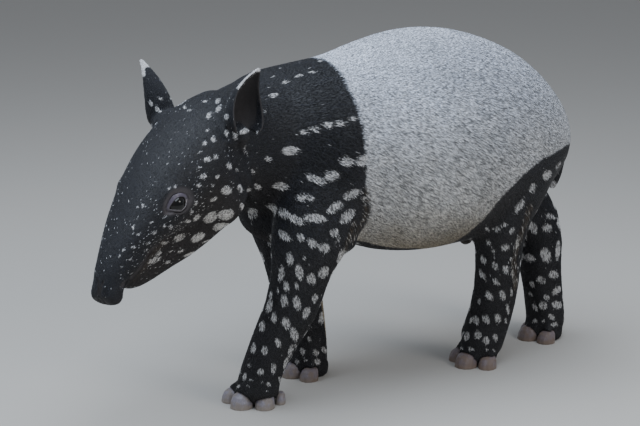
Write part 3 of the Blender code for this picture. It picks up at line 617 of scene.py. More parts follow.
FORELEG_SPOTS = [
    (289.5, 258, 13, 7, 85), (281, 272, 15, 6, 95), (299, 271, 16, 8, 80), (311.5, 278, 11, 9.5, 60),
    (324, 271.5, 13, 9.5, -40), (286, 285, 10, 6, 75), (296.5, 285, 7.5, 4.5, 70), (278, 290, 6, 2, 90),
    (271, 293, 8, 3.5, 100), (284, 299.5, 11.5, 7.5, 80), (297, 302, 14, 8, 70), (315.5, 297, 8, 6.5, -60),
    (269.5, 304, 14, 6, 100), (306.5, 312, 12, 7.5, -60), (274, 316, 9.5, 6, 80), (286, 322, 12, 8, 70),
    (262, 325, 10.5, 6, 90), (294.5, 334, 14.5, 8, 70), (278, 342, 9, 6, 70), (253.5, 347, 9.5, 5, 95),
    (264.5, 349.5, 8, 6.5, 80), (291, 350, 12, 5, 105), (286, 362, 12, 4.5, 110), (273.5, 368, 10.5, 5.5, 95),
    (260.5, 371, 6.5, 6, 0), (249.5, 364, 3.5, 3, 0), (244.5, 376, 7.5, 4, 100), (251, 379, 4.5, 2.5, -10),
    (262, 381.5, 3, 2.5, 0), (268.5, 384, 5.5, 4, 20), (280, 379, 7.5, 4, 80), (238.5, 385.5, 5.5, 2.5, -40),
    (248, 385, 3.5, 2.5, 0), (266, 390, 4, 2, 0), (322, 316, 14, 6, 100), (309, 338.5, 4.5, 4.5, 0),
    (319.5, 338, 3, 3, 0), (302, 350, 6.5, 5.5, 10), (316, 352, 7.5, 5.5, 10), (324.5, 349.5, 8, 5, 50),
    (296, 345, 3, 4, 0), (303.5, 356, 3, 2.5, 0), (297, 361.5, 5, 5, 0), (306, 360, 4, 2, 0),
    (317.5, 361.5, 6, 6, 40), (310, 326, 2.5, 4, 0), (270, 240, 22, 6, 65), (262, 255, 12, 4, 70)]
HINDLEG_SPOTS = [
    (558, 165, 9, 3.5, -55), (547, 174.5, 11, 7.5, -45), (532, 187, 10, 5, -60), (519, 205.5, 16, 5.5, -55),
    (497, 228, 10, 4, -15), (504, 224, 7, 3.5, -20), (512, 230, 7.5, 4.5, -45), (486.5, 228, 5, 3, 20),
    (488, 241, 6, 4, 20), (505, 246.5, 10.5, 5.5, -15), (493, 249, 5, 2.5, 25), (483, 258.5, 8.5, 5, 60),
    (495, 265, 8.5, 5.5, 45), (506, 268.5, 8.5, 6, 60), (482, 273.5, 14, 4.5, 60), (496, 281, 9.5, 4.5, 40),
    (511, 257, 3, 3, 0), (494, 255, 4, 1.8, 20), (517.5, 240, 9, 4, -75), (512.5, 270, 9, 2.5, 90),
    (489, 295, 10.5, 6.5, 45), (502.5, 294.5, 10.5, 6.5, 65), (511.5, 291, 9, 2.5, 90), (508, 308, 11, 3.5, 80),
    (479, 300, 5, 3, 90), (472, 296, 6, 2, 95), (471, 320, 7, 3, -75), (476, 319.5, 9.5, 5.5, 70),
    (484, 318.5, 8, 3.5, 70), (487.5, 319, 9.5, 4.5, 75), (498, 317.5, 9.5, 6.5, 70), (506, 320, 5, 2.5, 80),
    (466.5, 336, 9.5, 6, -70), (477.5, 335, 8, 7.5, 0), (486, 340, 7.5, 7.5, 0), (495.5, 337.5, 8.5, 5, 75),
    (463, 333, 7, 2, -60), (461, 347.5, 6.5, 3, -15), (471, 348.5, 7, 3.5, 20), (487, 349, 4, 2, 0),
    (494, 350, 5, 2, 40), (532, 226, 14, 8, 50), (547, 226.5, 10, 7.5, -15), (558.5, 222, 12, 6, 80),
    (550, 215, 10, 4, 15), (546, 254.5, 15, 10.5, 65), (558, 249, 20, 5, -85), (529.5, 257, 12, 7, 15),
    (554, 274, 9.5, 8, 0), (541, 279, 10, 6.5, 20), (532, 283, 8, 4, 55), (557, 290, 12, 6, -45),
    (546.5, 297, 7.5, 5, 40), (530.5, 293, 5, 3, 45), (543, 305, 8.5, 7.5, 10), (535, 307, 9, 4.5, 50),
    (557.5, 304.5, 10.5, 7.5, 10), (552, 316.5, 8, 5.5, 20), (535, 320.5, 5, 4, 0), (555, 324, 8, 4, -10),
    (543, 321, 3, 2.5, 0), (550, 186, 16, 9, 85)]
SPOT_LISTS = (NECK_SPOTS, CHEEK_SPOTS, CROWN_SPOTS, FORELEG_SPOTS, HINDLEG_SPOTS)
print("marks read off the photograph", sum(len(rows) for rows in SPOT_LISTS))

# %% [markdown]
# An ellipse in the photograph is longer on the skin where the skin turns away from the camera. So
# each half axis is carried along its ray to the plane that touches the skin at the mark's middle,
# and it may grow to about twice its length, because the rays hardly meet skin seen edge on.

# %% From pixels to marks on the skin
EDGE_ON = 0.12
LONGEST = 1.9


def spot_here(px, py, length, width, tilt):
    """Middle, two half axes and normal of a mark on the skin, from its ellipse in the photograph."""
    middle, normal = on_skin(px, py)
    if middle is None:
        return None
    start, centre_way = sight(px, py)
    axes = []
    for size, turn in ((length, tilt), (width, tilt + 90)):
        angle = math.radians(turn)
        way = sight(px + 0.5 * size * math.cos(angle), py + 0.5 * size * math.sin(angle))[1]
        plain = 0.5 * size * (middle - start).length / FOCAL_PIXELS
        slope = way.dot(normal)
        if abs(slope) > EDGE_ON:
            axis = start + way * ((middle - start).dot(normal) / slope) - middle
        else:
            axis = way - normal * slope
            axis = axis - centre_way * axis.dot(centre_way)
        axes.append(axis.normalized() * min(max(axis.length, plain), LONGEST * plain))
    return [middle, axes[0], axes[1], normal]


near_marks = [[mark for mark in (spot_here(*row) for row in rows) if mark] for rows in SPOT_LISTS]
seen_spots = sum(near_marks, [])
print("spots from the photograph", len(seen_spots))

# %% [markdown]
# The other side of the calf isn't in the photograph. Neck, cheek and crown get the mirror image of
# the near side, each mark turned a little and moved by a few millimetres, as on a real calf.

# %% Spots mirrored to the far side
BODY_MOVE, HEAD_MOVE = 0.004, 0.002
CLEAR_OF_SKIN = 0.003
flip_body = Matrix.Translation(SHIFT) @ Matrix.Diagonal((1, -1, 1, 1)) @ Matrix.Translation(-SHIFT)
chance = np.random.default_rng(20)


def hidden(place, normal):
    """True where the camera doesn't see this point of the skin."""
    way = camera.location - place
    if normal.dot(way.normalized()) < EDGE_ON:
        return True
    return skin_tree.ray_cast(place + normal * CLEAR_OF_SKIN, way.normalized(), way.length)[0] is not None


def laid(middle, first, second):
    """Mark with its axes laid flat on the nearest skin."""
    place, normal, _, _ = skin_tree.find_nearest(middle)
    first = first - normal * first.dot(normal)
    return [place, first, normal.cross(first).normalized() * second, normal]


mirrored = []
for rows, flip, moved_by in zip(near_marks, (flip_body, flip_head, flip_head), (BODY_MOVE, HEAD_MOVE, HEAD_MOVE)):
    for middle, first, second, _ in rows:
        moved = Vector(chance.normal(0, moved_by, 3))
        place, normal, _, _ = skin_tree.find_nearest(flip @ middle + moved)
        if hidden(place, normal):
            turned = Matrix.Rotation(chance.normal(0, 0.2), 3, normal)
            mirrored.append(laid(place, turned @ (flip.to_3x3() @ first),
                                 second.length * chance.uniform(0.85, 1.15)))
print("mirrored spots", len(mirrored))

# %% [markdown]
# The hidden sides of the legs are filled with spots of the size and spacing that the near sides
# show. Points of the skin are taken in a random but seeded order, and a spot is set where none is
# within the spacing, which is wider high on the thigh.

# %% Spots on the hidden sides of the legs
LEG_SPACING, WIDER_ABOVE = 0.0165, 0.2
HIND_FROM = 0.15
FORE_TOP, HIND_TOP, LOWEST = 0.27, 0.30, 0.030
TRIES = 9000

leg_like = is_in(region, "thigh", "shin", "foot")
low_enough = points[:, 2] < np.where(points[:, 0] > HIND_FROM, HIND_TOP, FORE_TOP)
picked = np.nonzero(leg_like & low_enough & (points[:, 2] > LOWEST))[0]
chance.shuffle(picked)
taken = [s[0] for s in seen_spots + mirrored]
filled = []
for i in picked[:TRIES]:
    place, normal = Vector(points[i]), Vector(normals[i])
    room = LEG_SPACING * (1.25 if place.z > WIDER_ABOVE else 1.0)
    if min((place - other).length_squared for other in taken) < room * room or not hidden(place, normal):
        continue
    down = Vector((0.15, 0, -1.0))
    down = (down - normal * down.dot(normal)).normalized()
    down = Matrix.Rotation(chance.normal(0, 0.35), 3, normal) @ down
    long = chance.uniform(0.0055, 0.0100)
    filled.append([place, down * long, normal.cross(down) * long * chance.uniform(0.55, 0.85), normal])
    taken.append(place)
print("spots on hidden sides of the legs", len(filled))

# %% [markdown]
# For every point of the skin the script keeps how far inside a mark it lies, in millimetres:
# positive inside, negative outside. A material can cut that at zero with a little noise, which
# gives a ragged edge finer than the mesh. The edge of the saddle is kept in the same way.

# %% Distance into the spots
PURE = 9.0
SPOT_THICK = 0.012


def into_spots(where, marks):
    """How far inside the nearest mark each point lies, in millimetres."""
    best = np.full(len(where), -PURE)
    for middle, first, second, normal in marks:
        base = np.array([first, second, normal * SPOT_THICK]).T
        near = np.nonzero(np.linalg.norm(where - np.array(middle), axis=1) < first.length * 2 + SPOT_THICK)[0]
        if len(near) == 0 or abs(np.linalg.det(base)) < 1e-12:
            continue
        local = (where[near] - np.array(middle)) @ np.linalg.inv(base).T
        inside = (1.0 - np.linalg.norm(local, axis=1)) * min(first.length, second.length) * 1000
        best[near] = np.maximum(best[near], inside)
    return best


marks = seen_spots + mirrored + filled
spot_depth = into_spots(points, marks)
print("points in spots", int((spot_depth > 0).sum()), "of", len(points))

# %% [markdown]
# The saddle's front edge runs down behind the shoulder almost plumb. Its rear edge leaves the root
# of the tail, follows the top of the thigh forwards and dips to the belly in front of the knee.
# Both are lines in the side view, in the modeller's coordinates, and hold for both sides. The
# belly's midline is dark for its first third, and so is the small lobe before the hind legs.

# %% Distance into the saddle
SADDLE_FRONT = [(-0.004, 0.640), (0.000, 0.562), (-0.006, 0.532), (-0.002, 0.455), (0.000, 0.375),
                (0.014, 0.335), (0.015, 0.300), (0.006, 0.270), (0.020, 0.180)]
SADDLE_REAR = [(0.560, 0.388), (0.496, 0.390), (0.415, 0.400), (0.335, 0.390), (0.285, 0.364), (0.250, 0.332),
               (0.225, 0.290), (0.208, 0.255), (0.200, 0.180)]
LOBE = np.array((0.284, -0.004, 0.2265)) + np.array(SHIFT)
LOBE_REACH = 0.024
BELLY_HALF, BELLY_GAIN = 78.0, 30
BELLY_FADE = (0.13, 0.25)
FACING_DOWN = -0.55


def side_of(flat, line):
    """Signed distance from a line in the side view, positive on its left hand."""
    best, sign = np.full(len(flat), 1e9), np.ones(len(flat))
    for a, b in zip(line[:-1], line[1:]):
        a, b = np.array(a), np.array(b)
        along = b - a
        share = np.clip((flat - a) @ along / (along @ along), 0, 1)
        far = np.linalg.norm(flat - a - share[:, None] * along, axis=1)
        turn = along[0] * (flat[:, 1] - a[1]) - along[1] * (flat[:, 0] - a[0])
        closer = far < best
        best, sign = np.where(closer, far, best), np.where(closer, np.sign(turn), sign)
    return best * sign


def saddle_at(where, normal):
    """How far into the saddle each point lies, in millimetres."""
    flat = where[:, [0, 2]] - np.array([SHIFT.x, SHIFT.z])
    inside = np.minimum(side_of(flat, SADDLE_FRONT), -side_of(flat, SADDLE_REAR)) * 1000
    inside = np.minimum(inside, (np.linalg.norm(where - LOBE, axis=1) - LOBE_REACH) * 1000)
    fade = eased_step(flat[:, 0], *BELLY_FADE)
    beside = np.abs(where[:, 1] - SHIFT.y) * 1000 - BELLY_HALF * (1 - fade) + BELLY_GAIN * fade
    return np.where(normal[:, 2] < FACING_DOWN, np.minimum(inside, beside), inside)


saddle_depth = saddle_at(points, normals)
print("points in the saddle", int((saddle_depth > 0).sum()))

# %% [markdown]
# The ears need a sense of place too. Each has a root, a direction and a side where it opens. From
# these follow the height along the ear, whether the skin faces into the cup, and how far it lies
# towards the ear's front edge.

# %% Where on the ear
EAR_LENGTH = 0.098
EARS = {1: ((0.000, 0.072, 0.050), (-0.765, 0.338, 0.549), (0.35, 0.90, -0.10)),
        -1: ((0.000, -0.067, 0.060), (-0.675, -0.562, 0.478), (0.05, -0.69, -0.72))}


def ear_axes(side):
    """Root of an ear, its direction and where it opens."""
    root, axis, opening = EARS[side]
    turn = HEAD.to_3x3()
    return in_head(*root), (turn @ Vector(axis)).normalized(), (turn @ Vector(opening)).normalized()


def into_head(points):
    """Positions in the head's own axes."""
    return (points - np.array(HEAD.translation)) @ np.array(HEAD.to_3x3())


heads = into_head(points)
ear_side = np.where(heads[:, 1] > 0, 1, -1)
at_ear = is_in(region, "ear")
ear_height, facing, front_edge = np.zeros(len(points)), np.zeros(len(points)), np.zeros(len(points))
for side in (1, -1):
    root, axis, opening = [np.array(v) for v in ear_axes(side)]
    mine = at_ear & (ear_side == side)
    ear_height[mine] = (points[mine] - root) @ axis
    ear_height[mine] += EAR_LENGTH - ear_height[mine].max()
    facing[mine] = normals[mine] @ opening
    nose_side = np.cross(axis, opening) * np.sign(np.cross(axis, opening) @ np.array(nose_way))
    front_edge[mine] = (points[mine] - root) @ nose_side
inner_ear = at_ear * eased_step(facing, 0.15, 0.45)
print("points on the ears", int(at_ear.sum()), "of them inside", int((inner_ear > 0.5).sum()))

# %% [markdown]
# The tips of the ears are white. The far one wears a cap with a short rim below it. The near one
# has a small cap, a rim down the upper half of its front edge, where the skin turns over into the
# cup, and a thin grey line on its other edge. The far rim and the grey line are dropped lines.

# %% White ear tips
NEAR_CAP, FAR_CAP = 0.092, 0.079
EAR_LINES = [([(142, 62), (142.8, 68), (143.3, 75)], 0.0038), ([(261, 80), (263, 92), (263.5, 104)], 0.0007)]
RIM_FROM, RIM_BEFORE = 0.060, 0.003
RIM_FACING, RIM_HALF, RIM_SLOPE = 0.05, 0.55, 6.0
TIP_FROM = 0.4

tip_depth = (ear_height - np.where(ear_side == 1, NEAR_CAP, FAR_CAP)) * 1000
for path, wide in EAR_LINES:
    tip_depth = np.maximum(tip_depth, (wide - line_distance(points, dropped(path, reach=0.008))) * 1000)
white_rim = np.minimum((ear_height - RIM_FROM) * 1000, RIM_SLOPE * (RIM_HALF - np.abs(facing - RIM_FACING)))
tip_depth = np.where((ear_side == 1) & (front_edge > RIM_BEFORE), np.maximum(tip_depth, white_rim), tip_depth)
tip_depth = np.where(at_ear, np.where(tip_depth > TIP_FROM, PURE, tip_depth), -PURE)
inner_ear = inner_ear * (tip_depth < 0)
spot_depth = np.maximum(spot_depth, np.clip(tip_depth, -PURE, PURE))
print("points in the white tips", int((tip_depth > 0).sum()))

# %% [markdown]
# A few more masks steer the materials. Bare skin shows on the lids, inside the ears, along the
# lips and round the nostrils. The warm mask browns the lower face, the chin and the lobe. As
# painted shade it also browns all skin that faces down and, by up to a third, all skin low down on
# the body and legs. Where the mask is low the coat is blue-black.

# %% Bare skin and warm fur
lips = np.minimum.reduce([line_distance(points, line) for line in lip_lines])
nose_creases = np.minimum.reduce([line_distance(points, line) for line in nose_lines])
nose_end = eased_step(heads[:, 0], 0.334, 0.344) * is_in(region, "head")
bare = np.maximum.reduce([1 - eased_step(bed, 1.25, 1.75), inner_ear, 1 - eased_step(lips, 0.0018, 0.0042),
                          1 - eased_step(nose_creases, 0.0014, 0.0030), nose_end])
lower_face = eased_step(0.075 - heads[:, 2], 0.0, 0.045) * eased_step(heads[:, 0], 0.03, 0.12)
# Painted shade: skin that faces down, and by up to a third all skin low down, counts as warm.
shade_below = eased_step(-normals[:, 2], -0.15, 0.75) * 0.7
shade_low_down = eased_step(0.30 - points[:, 2], 0.0, 0.2) * 0.35
warm = np.where(is_in(region, "head"), np.maximum(lower_face, shade_below), np.maximum(shade_below, shade_low_down))
warm = spread(np.clip(warm, 0, 1), 4)
chin = (1 - eased_step(lips, 0.006, 0.024)) * (1 - eased_step(heads[:, 2], 0.038, 0.052))
in_lobe = 1 - eased_step(np.linalg.norm(points - LOBE, axis=1), 0.022, 0.030)
warm = np.maximum.reduce([warm, 1.40 * chin, 1.7 * in_lobe])
print("bare points", int((bare > 0.5).sum()), "warm points", int((warm > 0.5).sum()))

# %% [markdown]
# A material reads all this as attributes of the mesh: one number for each point, under a name.

# %% Keep the masks on the skin
def keep_on(mesh, **values):
    """Keep one number for each point of a mesh under each name."""
    for title, numbers in values.items():
        mesh.attributes.new(title, "FLOAT", "POINT").data.foreach_set("value", numbers.astype(np.float32))


limb = spread(is_in(region, "thigh", "shin", "foot", "tail").astype(float), 8)
face = spread(is_in(region, "head", "ear").astype(float), 8)
# Painted shade: bare skin is painted nearly black along the mouth line and the nose folds.
lip = 1 - eased_step(np.minimum(lips, nose_creases), 0.0008, 0.0036)
keep_on(skin.data, mark=spot_depth, saddle=saddle_depth, bare=bare, warm=warm, limb=limb, face=face,
        cup=at_ear, lip=lip)
print("kept on the skin", [a.name for a in skin.data.attributes if a.data_type == "FLOAT"])

# %% [markdown]
# ## Materials
# A material is a tree of nodes, and most of them are one of a few kinds. A helper for each kind
# keeps the trees below short enough to read.

# %% Helpers for nodes
def node(tree, kind, inputs=(), **settings):
    """Add a node, set its options, and link or set its inputs."""
    made = tree.nodes.new("ShaderNode" + kind)
    for name, value in settings.items():
        setattr(made, name, value)
    for key, value in dict(inputs).items():
        if isinstance(value, bpy.types.NodeSocket):
            tree.links.new(value, made.inputs[key])
        else:
            made.inputs[key].default_value = value
    return made


def object_place(tree):
    """Place on the object, which a pattern is fixed to."""
    return node(tree, "TexCoord").outputs["Object"]


def maths(tree, operation, one, two=0.0, three=0.0):
    """Result of one Math node."""
    return node(tree, "Math", {0: one, 1: two, 2: three}, operation=operation).outputs[0]


def blended(tree, share, one, two, how="MIX"):
    """Result of one colour Mix node."""
    return node(tree, "Mix", {0: share, 6: one, 7: two}, data_type="RGBA", blend_type=how).outputs[2]


def stepped(tree, value, low, high, start=0.0, end=1.0):
    """Value eased from one range to another."""
    ranged = node(tree, "MapRange", {"Value": value, "From Min": low, "From Max": high, "To Min": start,
                                     "To Max": end}, interpolation_type="SMOOTHSTEP")
    return ranged.outputs["Result"]


def noise(tree, vector, scale, detail=2.0):
    """Noise value at a scale."""
    return node(tree, "TexNoise", {"Vector": vector, "Scale": scale, "Detail": detail}).outputs["Fac"]


print("node helpers ready")

# %% [markdown]
# Skin and tufts wear the same coat, so its colours are one node group. It takes the distances kept
# on the mesh, and the noise added here breaks their edges: finely at a spot, and in wide soft
# tongues at the saddle.

# %% Edges of the markings
FLOAT, COLOUR = "NodeSocketFloat", "NodeSocketColor"


def new_group(title, inputs, outputs):
    """Empty shader group with named sockets."""
    tree = bpy.data.node_groups.new(title, "ShaderNodeTree")
    for name, kind, value in inputs:
        socket = tree.interface.new_socket(name=name, in_out="INPUT", socket_type=kind)
        socket.default_value = value
    for name, kind in outputs:
        tree.interface.new_socket(name=name, in_out="OUTPUT", socket_type=kind)
    return tree, tree.nodes.new("NodeGroupInput"), tree.nodes.new("NodeGroupOutput")


markings, into, out_of = new_group(
    "coat_colours", [("Mark", FLOAT, -PURE), ("Saddle", FLOAT, -PURE), ("Warm", FLOAT, 0.0),
                     ("Own", FLOAT, 0.5), ("Hair", FLOAT, 0.5)], [("Colour", COLOUR), ("Pale", FLOAT)])
tree = markings
mark_in, saddle_in, warm_in, own_in, hair_in = list(into.outputs)[:5]
where = object_place(tree)
fine = maths(tree, "MULTIPLY_ADD", noise(tree, where, 420.0), 3.4, -1.7)
broad = maths(tree, "MULTIPLY_ADD", noise(tree, where, 45.0, 3.0), 6.0, -3.0)
spot = stepped(tree, maths(tree, "ADD", mark_in, fine), -0.25, 0.45)
edge = maths(tree, "ADD", maths(tree, "ADD", saddle_in, maths(tree, "MULTIPLY", fine, 1.1)), broad)
saddle = stepped(tree, edge, -2.5, 3.0)
print("edge nodes", len(tree.nodes))

# %% [markdown]
# The dark coat is black in two copies mixed by the warm mask: tinted blue, a painted cool sky sheen,
# and brown-black where the mask is high, which on skin that faces down or lies low is painted
# shade. It is plain brown on the small lobe before the hind legs. Each hair has its own shade, and
# one in twenty is grey.

# %% Dark coat
# The blue tint is a painted sky sheen; the brown-black is partly painted shade below.
BLUE_BLACK_SKY_SHEEN = (0.0050, 0.0056, 0.0096, 1), (0.0094, 0.0106, 0.0165, 1)
BROWN_BLACK_AND_SHADE = (0.0100, 0.0072, 0.0066, 1), (0.0210, 0.0152, 0.0142, 1)
LOBE_BROWN = (0.058, 0.043, 0.031, 1)


def dimmed(tree, colour, by):
    """Colour multiplied by another colour."""
    return blended(tree, 1.0, colour, by, "MULTIPLY")


def grey(tree, value):
    """Grey colour of a value."""
    return node(tree, "CombineColor", {0: value, 1: value, 2: value}).outputs[0]


tone = noise(tree, where, 26.0, 4.0)
# Painted light: blue-black where the warm mask is low, brown-black as painted shade where it is high.
dark = blended(tree, warm_in, blended(tree, tone, *BLUE_BLACK_SKY_SHEEN), blended(tree, tone, *BROWN_BLACK_AND_SHADE))
dark = blended(tree, stepped(tree, warm_in, 1.0, 1.7), dark, LOBE_BROWN)
lone_grey = stepped(tree, own_in, 0.94, 0.97, 0.0, 2.4)
own_shade = maths(tree, "MULTIPLY_ADD", own_in, 0.85, maths(tree, "ADD", lone_grey, 0.50))
dark = dimmed(tree, dark, grey(tree, own_shade))
print("with the dark coat", len(tree.nodes))

# %% [markdown]
# The saddle runs from white on the sides to a bluish white on the back, a painted cool sky light
# from above, and to a yellowish grey under the belly that is darker as painted shade. It isn't
# plain: grey hairs lie among the white ones, in streaks that follow the lie of the fur.

# %% Saddle
# The bluish back is painted sky light; the darker belly colour is painted shade.
SADDLE_SIDE, SADDLE_BACK_SKY_TINT, SADDLE_BELLY_SHADED = (0.77, 0.76, 0.75, 1), (0.735, 0.795, 0.92, 1), (0.43, 0.355, 0.245, 1)


def drawn_out(tree, vector, scale, turn=(0, 0, 0), detail=3.0):
    """Noise drawn out along one axis, after a turn."""
    turned = node(tree, "Mapping", {"Vector": vector, "Rotation": turn}).outputs[0]
    return noise(tree, node(tree, "Mapping", {"Vector": turned, "Scale": scale}).outputs[0], 1.0, detail)


height = node(tree, "SeparateXYZ", {0: where}).outputs["Z"]
# Painted light by height: bluer towards the back, darker towards the belly.
sky_tint_share = stepped(tree, maths(tree, "MULTIPLY_ADD", tone, 0.08, height), 0.34, 0.60)
belly_shade_share = stepped(tree, maths(tree, "MULTIPLY_ADD", tone, 0.06, height), 0.25, 0.38, 1.0, 0.0)
white = blended(tree, sky_tint_share, SADDLE_SIDE, SADDLE_BACK_SKY_TINT)
white = blended(tree, belly_shade_share, white, SADDLE_BELLY_SHADED)
hairs = drawn_out(tree, where, (80, 560, 560), (0, math.radians(-30), 0))
grey_hair = stepped(tree, maths(tree, "MULTIPLY_ADD", own_in, 0.20, hairs), 0.42, 0.76, 0.36, 1.48)
patches = stepped(tree, noise(tree, where, 7.0, 2.0), 0.34, 0.66, 0.86, 1.07)
white = dimmed(tree, white, grey(tree, maths(tree, "MULTIPLY", grey_hair, patches)))
print("with the saddle", len(tree.nodes))

# %% [markdown]
# The spots are white with single dark hairs among the white, except for the tips of the ears,
# which are pure. Where the warm mask is high they turn a warmer white, which on skin that faces
# down or lies low is painted shade. Then the three meet: spots over the dark coat, and the saddle
# over both.

# %% Spots and the finished colour
SPOT_COOL, SPOT_WARM = (0.84, 0.84, 0.86, 1), (0.80, 0.775, 0.74, 1)
# Warmer white where the warm mask is high, partly painted shade below.
spot_white = blended(tree, warm_in, SPOT_COOL, SPOT_WARM)
lone_dark = stepped(tree, maths(tree, "MULTIPLY_ADD", own_in, 0.20, hair_in), 0.49, 0.65, 0.24, 1.12)
lone_dark = maths(tree, "MAXIMUM", lone_dark, stepped(tree, mark_in, 0.6 * PURE, 0.8 * PURE))
spot_white = dimmed(tree, spot_white, grey(tree, lone_dark))
coloured = blended(tree, saddle, blended(tree, spot, dark, spot_white), white)
tree.links.new(coloured, out_of.inputs["Colour"])
tree.links.new(maths(tree, "MAXIMUM", spot, saddle), out_of.inputs["Pale"])
print("colour group with", len(tree.nodes), "nodes")

# %% [markdown]
# Where fur lies flat it reads as fine streaks. Noise that is drawn out along one axis gives them:
# along the body on the barrel, up and down on the limbs, and along the nose on the head. Two masks
# on the skin choose between the three.

# %% Streaks of short fur
def between(tree, share, one, two):
    """Value between two values."""
    return node(tree, "Mix", {0: share, 2: one, 3: two}).outputs[0]


HEAD_EULER = HEAD.to_3x3().transposed().to_euler()
streaks, into, out_of = new_group("short_fur", [("Limb", FLOAT, 0.0), ("Face", FLOAT, 0.0)], [("Height", FLOAT)])
tree = streaks
where = object_place(tree)
both = between(tree, into.outputs["Limb"], drawn_out(tree, where, (90, 600, 600)),
               drawn_out(tree, where, (620, 620, 100)))
every = between(tree, into.outputs["Face"], both, drawn_out(tree, where, (120, 750, 750), HEAD_EULER))
tree.links.new(every, out_of.inputs["Height"])
print("streak group with", len(tree.nodes), "nodes")

# %% [markdown]
# Skin and tufts use the two groups alike. A tuft is one hair and has its own shade, while on the
# skin the streaks stand for single hairs.

# %% Helpers for materials
def new_material(title, rough, **sockets):
    """Material with its shader, some sockets set as constants."""
    made = bpy.data.materials.new(title)
    made.use_nodes = True
    shader = made.node_tree.nodes["Principled BSDF"]
    shader.inputs["Roughness"].default_value = rough
    for name, value in sockets.items():
        shader.inputs[name.replace("_", " ")].default_value = value
    return made, made.node_tree, shader


def kept(tree, title):
    """Value kept on the mesh under a name."""
    return node(tree, "Attribute", attribute_name=title).outputs["Fac"]


def coat_in(tree, own=None):
    """Height of the streaks and the node of the coat's colours; own is the shade of each hair."""
    fur = node(tree, "Group", {"Limb": kept(tree, "limb"), "Face": kept(tree, "face")}, node_tree=streaks)
    fur = fur.outputs["Height"]
    own = stepped(tree, fur, 0.25, 0.75) if own is None else own
    return fur, node(tree, "Group", {"Mark": kept(tree, "mark"), "Saddle": kept(tree, "saddle"),
                                     "Warm": kept(tree, "warm"), "Own": own, "Hair": fur}, node_tree=markings)


def bumped(tree, shader, height, strength, distance):
    """Bump from a height into the shader's normal."""
    bump = node(tree, "Bump", {"Strength": strength, "Distance": distance, "Height": height})
    tree.links.new(bump.outputs[0], shader.inputs["Normal"])


print("material helpers ready")

# %% [markdown]
# Under the tufts the skin is the same coat, darkened as painted shade down among the tufts: by a
# fifth under dark fur and to less than half under pale fur, with the streaks as bump. Where it is
# bare it turns a purplish grey with a fine leathery grain, darker in the cups of the ears, and it is
# painted nearly black along the mouth line and the folds beside the nose, as shade in those creases.

# %% Skin material
# Painted shade: the skin among the tufts is dimmed, most under pale fur.
UNDER_DARK_SHADE, UNDER_PALE_SHADE = (0.80, 0.79, 0.78, 1), (0.46, 0.45, 0.44, 1)
LEATHER = (0.036, 0.030, 0.034, 1), (0.086, 0.073, 0.080, 1)
CUP_LEATHER = (0.018, 0.0155, 0.0165, 1), (0.042, 0.036, 0.037, 1)
skin_finish, tree, shader = new_material("furred_skin", 0.62, Sheen_Weight=0.04, Sheen_Roughness=0.4)
where = object_place(tree)
fur, coat = coat_in(tree)
shaded_undercoat = dimmed(tree, coat.outputs["Colour"], blended(tree, coat.outputs["Pale"], UNDER_DARK_SHADE, UNDER_PALE_SHADE))
grain = node(tree, "TexVoronoi", {"Vector": where, "Scale": 900.0}, feature="DISTANCE_TO_EDGE").outputs["Distance"]
cracks = stepped(tree, grain, 0.0, 0.25)
leather = noise(tree, where, 160.0, 4.0)
bare_tone = blended(tree, kept(tree, "cup"), blended(tree, leather, *LEATHER),
                    blended(tree, leather, *CUP_LEATHER))
# Painted shade in the creases of mouth and nose: nearly black.
bare_tone = blended(tree, kept(tree, "lip"), bare_tone, (0.010, 0.006, 0.006, 1))
bare_tone = blended(tree, cracks, dimmed(tree, bare_tone, (0.6, 0.6, 0.6, 1)), bare_tone)
bare_mask = kept(tree, "bare")
tree.links.new(blended(tree, bare_mask, shaded_undercoat, bare_tone), shader.inputs["Base Color"])
bare_rough = stepped(tree, bare_mask, 0.2, 0.9, 0.62, 0.46)
tree.links.new(maths(tree, "MULTIPLY_ADD", kept(tree, "cup"), 0.30, bare_rough), shader.inputs["Roughness"])
bumped(tree, shader, between(tree, bare_mask, fur, maths(tree, "MULTIPLY", cracks, 0.35)), 0.55, 0.0007)
skin.data.materials.clear()
skin.data.materials.append(skin_finish)
alone(skin)
bpy.ops.object.shade_smooth()
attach(skin, "root")
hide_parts(*flesh_names)
print("skin dressed")

# %% [markdown]
# ## Eyes
# A tapir's eye is nearly black, with a brown iris that shows only in bright light and a pupil that
# lies level. The ball is a sphere with a slightly raised cornea, and each point keeps how far it is
# from the middle of the pupil, so the iris is painted in three dimensions.

